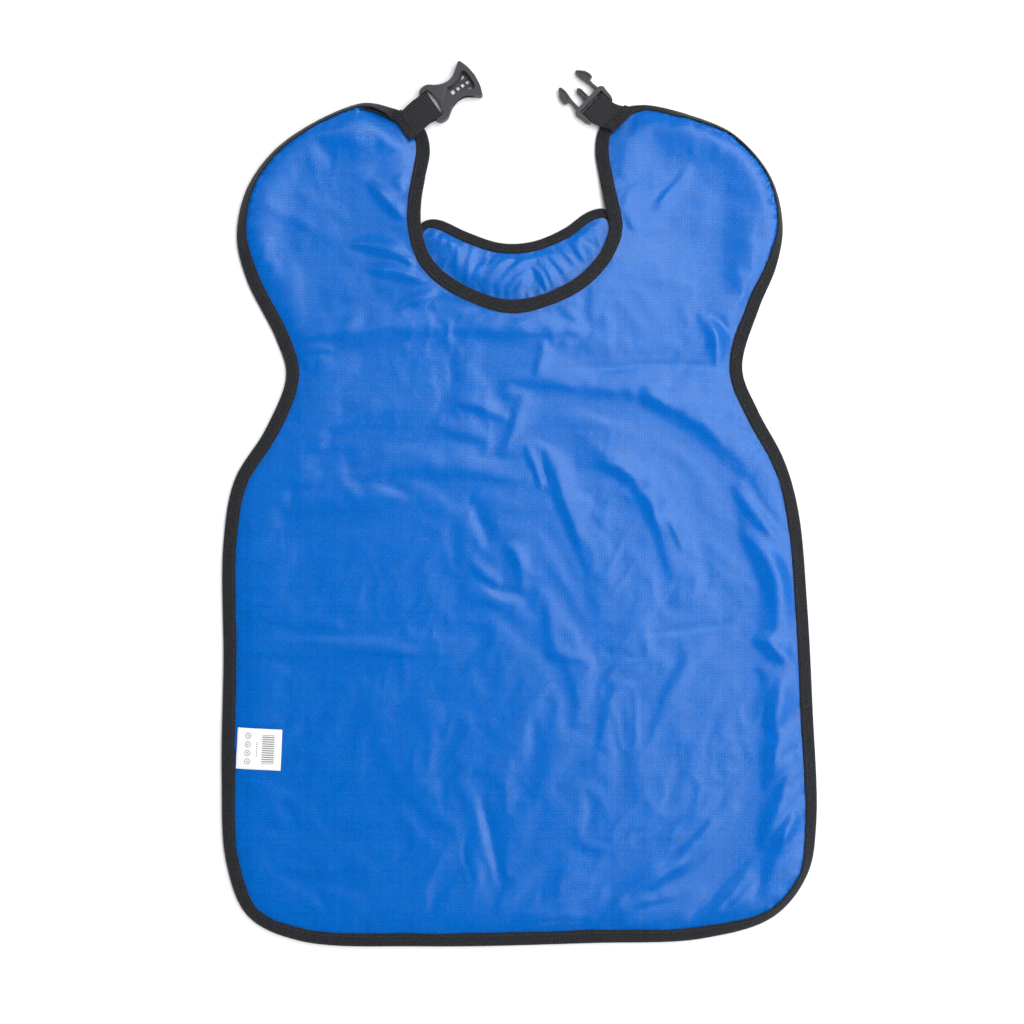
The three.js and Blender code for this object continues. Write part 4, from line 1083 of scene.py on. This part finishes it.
def bezier(a, b, c, d, steps=16):
    """Points of a curve between two ends, with two handles."""
    t = np.linspace(0, 1, steps, endpoint=False)[:, None]
    a, b, c, d = (np.array(k, float) for k in (a, b, c, d))
    return (1 - t) ** 3 * a + 3 * t * (1 - t) ** 2 * b + 3 * t**2 * (1 - t) * c + t**3 * d


def even(path, step):
    """The same path with points at even distances."""
    run = np.concatenate([[0], np.cumsum(np.linalg.norm(np.diff(path, axis=0), axis=1))])
    marks = np.linspace(0, run[-1], max(int(round(run[-1] / step)), 2) + 1)
    return marks, np.column_stack([np.interp(marks, run, path[:, k]) for k in range(path.shape[1])])


def hairpin(strap):
    """Side view of the webbing's middle: the lower layer, the turn round the bar and the upper layer."""
    radius = BAR_RADIUS + SEWN_GAP + WEBBING / 2
    low = strap.seat + SEWN_GAP + WEBBING / 2
    high = low + WEBBING
    end = strap.sewn - strap.reach
    angles = np.linspace(-math.pi / 2, math.pi / 2, 24, endpoint=False)
    turn = np.column_stack([radius * np.cos(angles), BAR_HEIGHT + radius * np.sin(angles)])
    return np.vstack([
        [(-strap.reach, low)],
        bezier((end, low), (0.6 * end, low), (-radius, BAR_HEIGHT - radius), (0, BAR_HEIGHT - radius)),
        turn,
        bezier((0, BAR_HEIGHT + radius), (-radius, BAR_HEIGHT + radius), (0.6 * end, high), (end, high)),
        [(end, high), (-strap.reach, high)],
    ])


def ribbon(strap, path, half_width, half_thick):
    """A woven band that follows a path seen from the side. Its half thickness may change along it."""
    way = np.gradient(path, axis=0)
    way /= np.linalg.norm(way, axis=1)[:, None]
    out = np.column_stack([-way[:, 1], way[:, 0]])
    t = np.clip((-path[:, 0] - STRAP_HELD) / (strap.reach - STRAP_HELD), 0, 1)
    aside = strap.shift * (3 * t**2 - 2 * t**3) - strap.lean * strap.reach * (t**3 - t**2)
    edge = [(1, 0), (0.985, 0.72), (0.95, 1)]
    upper = edge + [(k, 1) for k in (0.6, 0.2, -0.2, -0.6)] + [(-a, b) for a, b in reversed(edge[1:])]
    ring = upper + [(-a, -b) for a, b in upper] + upper[:1]
    corner = math.radians(strap.turn)
    sections = []
    for a, b in ring:
        along = path[:, 0] + out[:, 0] * b * half_thick
        side = aside + a * half_width
        sections.append(np.column_stack([
            strap.at[0] + along * math.cos(corner) - side * math.sin(corner),
            strap.at[1] + along * math.sin(corner) + side * math.cos(corner),
            path[:, 1] + out[:, 1] * b * half_thick,
        ]))
    return np.array(sections).transpose(1, 0, 2)


# WEBBING_LIGHT is a painted highlight on the crest of each rib, and WEBBING_DARK is the webbing's black in
# painted shade between the ribs.
WEBBING_DARK = (0.003, 0.0033, 0.004, 1)
WEBBING_LIGHT = (0.030, 0.032, 0.038, 1)
webbing = finish("black_webbing", Specular_IOR_Level=0.2, Sheen_Weight=0.06, Sheen_Roughness=0.5)
tree = webbing.tree
cut = node(tree, "UVMap").outputs[0]
split = node(tree, "SeparateXYZ", i0=cut)
strands = node(tree, "Math", "MULTIPLY", i0=split.outputs[1], i1=150.0).outputs[0]
strands = node(tree, "Math", "SINE", i0=strands).outputs[0]
# Painted light on the ribs: the colour follows the ribs of the geometry along the strap. It is lighter on
# each crest, a painted highlight, and darker between them, a painted shade.
ribs = node(tree, "Math", "MULTIPLY", i0=split.outputs[0], i1=2 * math.pi * RIBS).outputs[0]
ribs = node(tree, "Math", "COSINE", i0=ribs).outputs[0]
lit_rib_crests_and_pale_edges = node(tree, "MapRange", Value=ribs, i1=-0.9, i2=0.9).outputs[0]
shade = mixed(tree, lit_rib_crests_and_pale_edges, WEBBING_DARK, WEBBING_LIGHT)
tree.links.new(shade, webbing.shader.inputs["Base Color"])
where = node(tree, "TexCoord").outputs["Object"]
fuzz = node(tree, "TexNoise", Vector=where, Scale=1400.0, Detail=3.0).outputs[0]
rough = node(tree, "MapRange", Value=fuzz, i3=0.55, i4=0.8).outputs[0]
tree.links.new(rough, webbing.shader.inputs["Roughness"])
bump = node(tree, "Bump", Strength=0.35, Distance=0.0001, Height=strands)
tree.links.new(bump.outputs[0], webbing.shader.inputs["Normal"])

for side, strap in STRAPS.items():
    marks, path = even(hairpin(strap), RIB_STEP)
    rise = 0.5 + 0.5 * np.cos(2 * math.pi * RIBS * marks / marks[-1])
    half_thick = WEBBING / 2 - RIB_RISE + RIB_RISE * rise
    band = sewn_up(grid_cloth(ribbon(strap, path, WEBBING_WIDTH / 2, half_thick)))
    banded = piece(side + "_webbing", band, webbing.material)
    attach(banded, "root")
    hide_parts(side + "_strap")
    top = strap.seat + SEWN_GAP + 2 * WEBBING
    corner = np.array([
        (-strap.reach - 1.3, top - 2.6), (-strap.reach - 1.0, top - 0.7), (-strap.reach - 0.3, top + 0.15),
        (-strap.reach + STRIP_WIDTH / 2, top + 0.3), (-strap.reach + STRIP_WIDTH, top + 0.28),
    ])
    strip_path = even(corner, 0.5)[1]
    strip = piece(
        side + "_strap_tape",
        sewn_up(grid_cloth(ribbon(strap, strip_path, WEBBING_WIDTH / 2 + STRIP_LONGER, STRIP_THICK / 2))),
        tape.material,
    )
    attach(strip, "root")

# Buckle halves: a side-release buckle moulded in black acetal, left open. The socket on the left strap has a
# window in its upper plate and holes in its lower one, and the plug on the right strap has two spring prongs
# and a guide.
BUCKLE_HEIGHT = 8.4
BUCKLE_WALL = 1.8
BUCKLE_ROUND = 0.55  # radius of the moulded edges
SLOT_HALF = 13.2
SOCKET_SIDE = [
    (-3, 14.2), (-1.2, 16.4), (3.5, 17.6), (8, 16.7), (12.5, 13.4), (18, 10.5), (24.5, 9.3), (30.5, 10.4),
    (36.5, 14.4), (41.5, 18.4),
]
SOCKET_FRONT = [(43.6, 18.2), (46.4, 10), (47.6, 0)]
SOCKET_WINDOW = [(20.5, 4.6), (27, 4), (33, 5.4), (41, 9.4), (43.2, 5)]
SOCKET_HOLES = [(24, 2), (29.6, 1.6), (34.6, 1.6), (39.6, 1.6)]
SOCKET_NICK = [(35, 4.7), (40.1, 4.7), (40.1, 8.1)]
SLOT_FRONT = [(5.2, -13.2), (6.4, -9), (7.5, -4), (7.8, 0), (7.5, 4), (6.4, 9), (5.2, 13.2)]
MOUTH = [(16, -14.6), (60, -14.6), (60, 14.6), (16, 14.6)]
PLUG_SIDE = [(-8.5, 14.2), (-5, 15.9), (1, 16.6), (6.5, 17.2), (9, 14.8)]
PLUG_SLOT = [(-60, -13.2), (5, -13.2), (5, 13.2), (-60, 13.2)]
PRONG = [
    (8, 13.9), (15, 13.2), (18.8, 13.5), (19.6, 17.2), (23, 17.8), (28, 16.3), (32.6, 12.8), (34.2, 10.6),
    (32.8, 9.1), (28, 8.7), (23, 9.5), (18, 10.5), (8, 11),
]
PRONG_HOLLOW = [(21.6, 15.8), (25.4, 15.3), (29.8, 13), (31.6, 11.2), (28.4, 10.4), (24, 11), (21.2, 12.4)]
PRONG_LOW, PRONG_HIGH = 2.1, 6.3
GUIDE = [(6, -2.3), (18.6, -2.3), (20.8, -1.7), (22, 0), (20.8, 1.7), (18.6, 2.3), (6, 2.3)]
GUIDE_HOLLOW = [(11, -1), (19, -1), (20, 0), (19, 1), (11, 1)]
HOLLOW_FLOOR = 5.5
FACE_ORDER = Vector((1, 0.37, 0.11))  # blanks list their faces along this, so each run carves alike


def smooth_run(rows, steps=6):
    """Points of a smooth line through rows."""
    return edge_line(rows, steps).at


def both_sides(*runs):
    """An outline that is the same on both sides of the x axis, from runs of half widths."""
    half = np.vstack(runs)
    other = half[half[:, 1] > 0.01][::-1] * (1, -1)
    return np.vstack([half, other])


def plate(outline, low, high):
    """A flat solid with an outline, as an object for carving."""
    maker = bmesh.new()
    bmesh.ops.create_circle(maker, cap_ends=True, radius=1, segments=len(outline))
    for corner, (x, y) in zip(maker.verts, outline):
        corner.co = (x, y, low)
    made = bmesh.ops.extrude_face_region(maker, geom=maker.faces[:])
    bmesh.ops.translate(
        maker, verts=[v for v in made["geom"] if isinstance(v, bmesh.types.BMVert)], vec=(0, 0, high - low)
    )
    bmesh.ops.recalc_face_normals(maker, faces=maker.faces[:])
    maker.faces.sort(key=lambda face: face.calc_center_median().dot(FACE_ORDER))
    return piece("blank", maker)


def moulded(name, body, cuts, joins, recesses, strap):
    """A plate with others cut out of it or joined to it, rounded edges and a bar, at its place on a strap."""
    for operation, tools in (("DIFFERENCE", cuts), ("UNION", joins), ("DIFFERENCE", recesses)):
        for tool in tools:
            carve = body.modifiers.new("carve", "BOOLEAN")
            carve.operation, carve.object, carve.solver = operation, tool, "EXACT"
    rounding = body.modifiers.new("rounding", "BEVEL")
    rounding.width, rounding.segments, rounding.limit_method = BUCKLE_ROUND, 3, "ANGLE"
    rounding.angle_limit = math.radians(38)
    body.modifiers.new("shading", "WEIGHTED_NORMAL").keep_sharp = False
    made = bpy.data.meshes.new_from_object(body.evaluated_get(bpy.context.evaluated_depsgraph_get()))
    maker = bmesh.new()
    maker.from_mesh(made)
    lying = Matrix.Translation((0, 0, BAR_HEIGHT)) @ Matrix.Rotation(math.pi / 2, 4, "X")
    bmesh.ops.create_cone(
        maker, cap_ends=True, segments=24, radius1=BAR_RADIUS, radius2=BAR_RADIUS, depth=2 * SLOT_HALF + 1,
        matrix=lying,
    )
    place = Matrix.Translation((*strap.at, 0)) @ Matrix.Rotation(math.radians(strap.turn), 4, "Z")
    bmesh.ops.transform(maker, matrix=Matrix.Scale(MM, 4) @ place, verts=maker.verts[:])
    for blank in (body, *cuts, *joins, *recesses):
        bpy.data.objects.remove(blank)
    buckle = piece(name, maker, plastic.material)
    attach(buckle, "root")
    return buckle


PLASTIC_DARK = (0.014, 0.0155, 0.019, 1)
PLASTIC_LIGHT = (0.038, 0.041, 0.048, 1)
plastic = finish("black_moulded_acetal", Specular_IOR_Level=0.4)
tree = plastic.tree
where = node(tree, "TexCoord").outputs["Object"]
grain = node(tree, "TexNoise", Vector=where, Scale=1800.0, Detail=2.0).outputs[0]
patch = node(tree, "TexNoise", Vector=where, Scale=120.0, Detail=3.0).outputs[0]
# The plastic is lighter on sharp convex edges, where pointiness is high, and in slow random patches.
pointed = node(tree, "NewGeometry").outputs["Pointiness"]
lit_rib_crests_and_pale_edges = node(tree, "MapRange", Value=pointed, i1=0.5, i2=0.62).outputs[0]
lighter = node(tree, "Math", "MULTIPLY_ADD", i0=patch, i1=0.5, i2=lit_rib_crests_and_pale_edges).outputs[0]
tree.links.new(mixed(tree, lighter, PLASTIC_DARK, PLASTIC_LIGHT), plastic.shader.inputs["Base Color"])
rough = node(tree, "MapRange", Value=patch, i1=0.3, i2=0.7, i3=0.4, i4=0.54).outputs[0]
tree.links.new(rough, plastic.shader.inputs["Roughness"])
bump = node(tree, "Bump", Strength=0.3, Distance=0.00005, Height=grain)
tree.links.new(bump.outputs[0], plastic.shader.inputs["Normal"])

shell = plate(both_sides(smooth_run(SOCKET_SIDE), smooth_run(SOCKET_FRONT)), 0, BUCKLE_HEIGHT)
notch = np.vstack([[(-60, -SLOT_HALF)], smooth_run(SLOT_FRONT, 3), [(-60, SLOT_HALF)]])
cuts = [
    plate(MOUTH, BUCKLE_WALL, BUCKLE_HEIGHT - BUCKLE_WALL),
    plate(notch, -1, BUCKLE_HEIGHT + 1),
    plate(both_sides(smooth_run(SOCKET_WINDOW)), BUCKLE_HEIGHT / 2, BUCKLE_HEIGHT + 1),
]
for x, half in SOCKET_HOLES:
    square = [(x - half, -half), (x + half, -half), (x + half, half), (x - half, half)]
    cuts.append(plate(square, -1, BUCKLE_HEIGHT / 2))
for way in (1, -1):
    cuts.append(plate([(x, way * y) for x, y in SOCKET_NICK], -1, BUCKLE_HEIGHT / 2))
socket = moulded("socket", shell, cuts, [], [], STRAPS["left"])
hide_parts("buckle_socket")

plug_frame = plate(both_sides(smooth_run(PLUG_SIDE)), SEWN_GAP, BUCKLE_HEIGHT - SEWN_GAP)
plug_slot = plate(PLUG_SLOT, -1, BUCKLE_HEIGHT + 1)
joins = [plate(GUIDE, PRONG_LOW, PRONG_HIGH)]
recesses = [plate(GUIDE_HOLLOW, HOLLOW_FLOOR, BUCKLE_HEIGHT)]
for way in (1, -1):
    joins.append(plate([(x, way * y) for x, y in PRONG], PRONG_LOW, PRONG_HIGH))
    recesses.append(plate([(x, way * y) for x, y in PRONG_HOLLOW], HOLLOW_FLOOR, BUCKLE_HEIGHT))
plug = moulded("plug", plug_frame, [plug_slot], joins, recesses, STRAPS["right"])
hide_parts("buckle_plug")
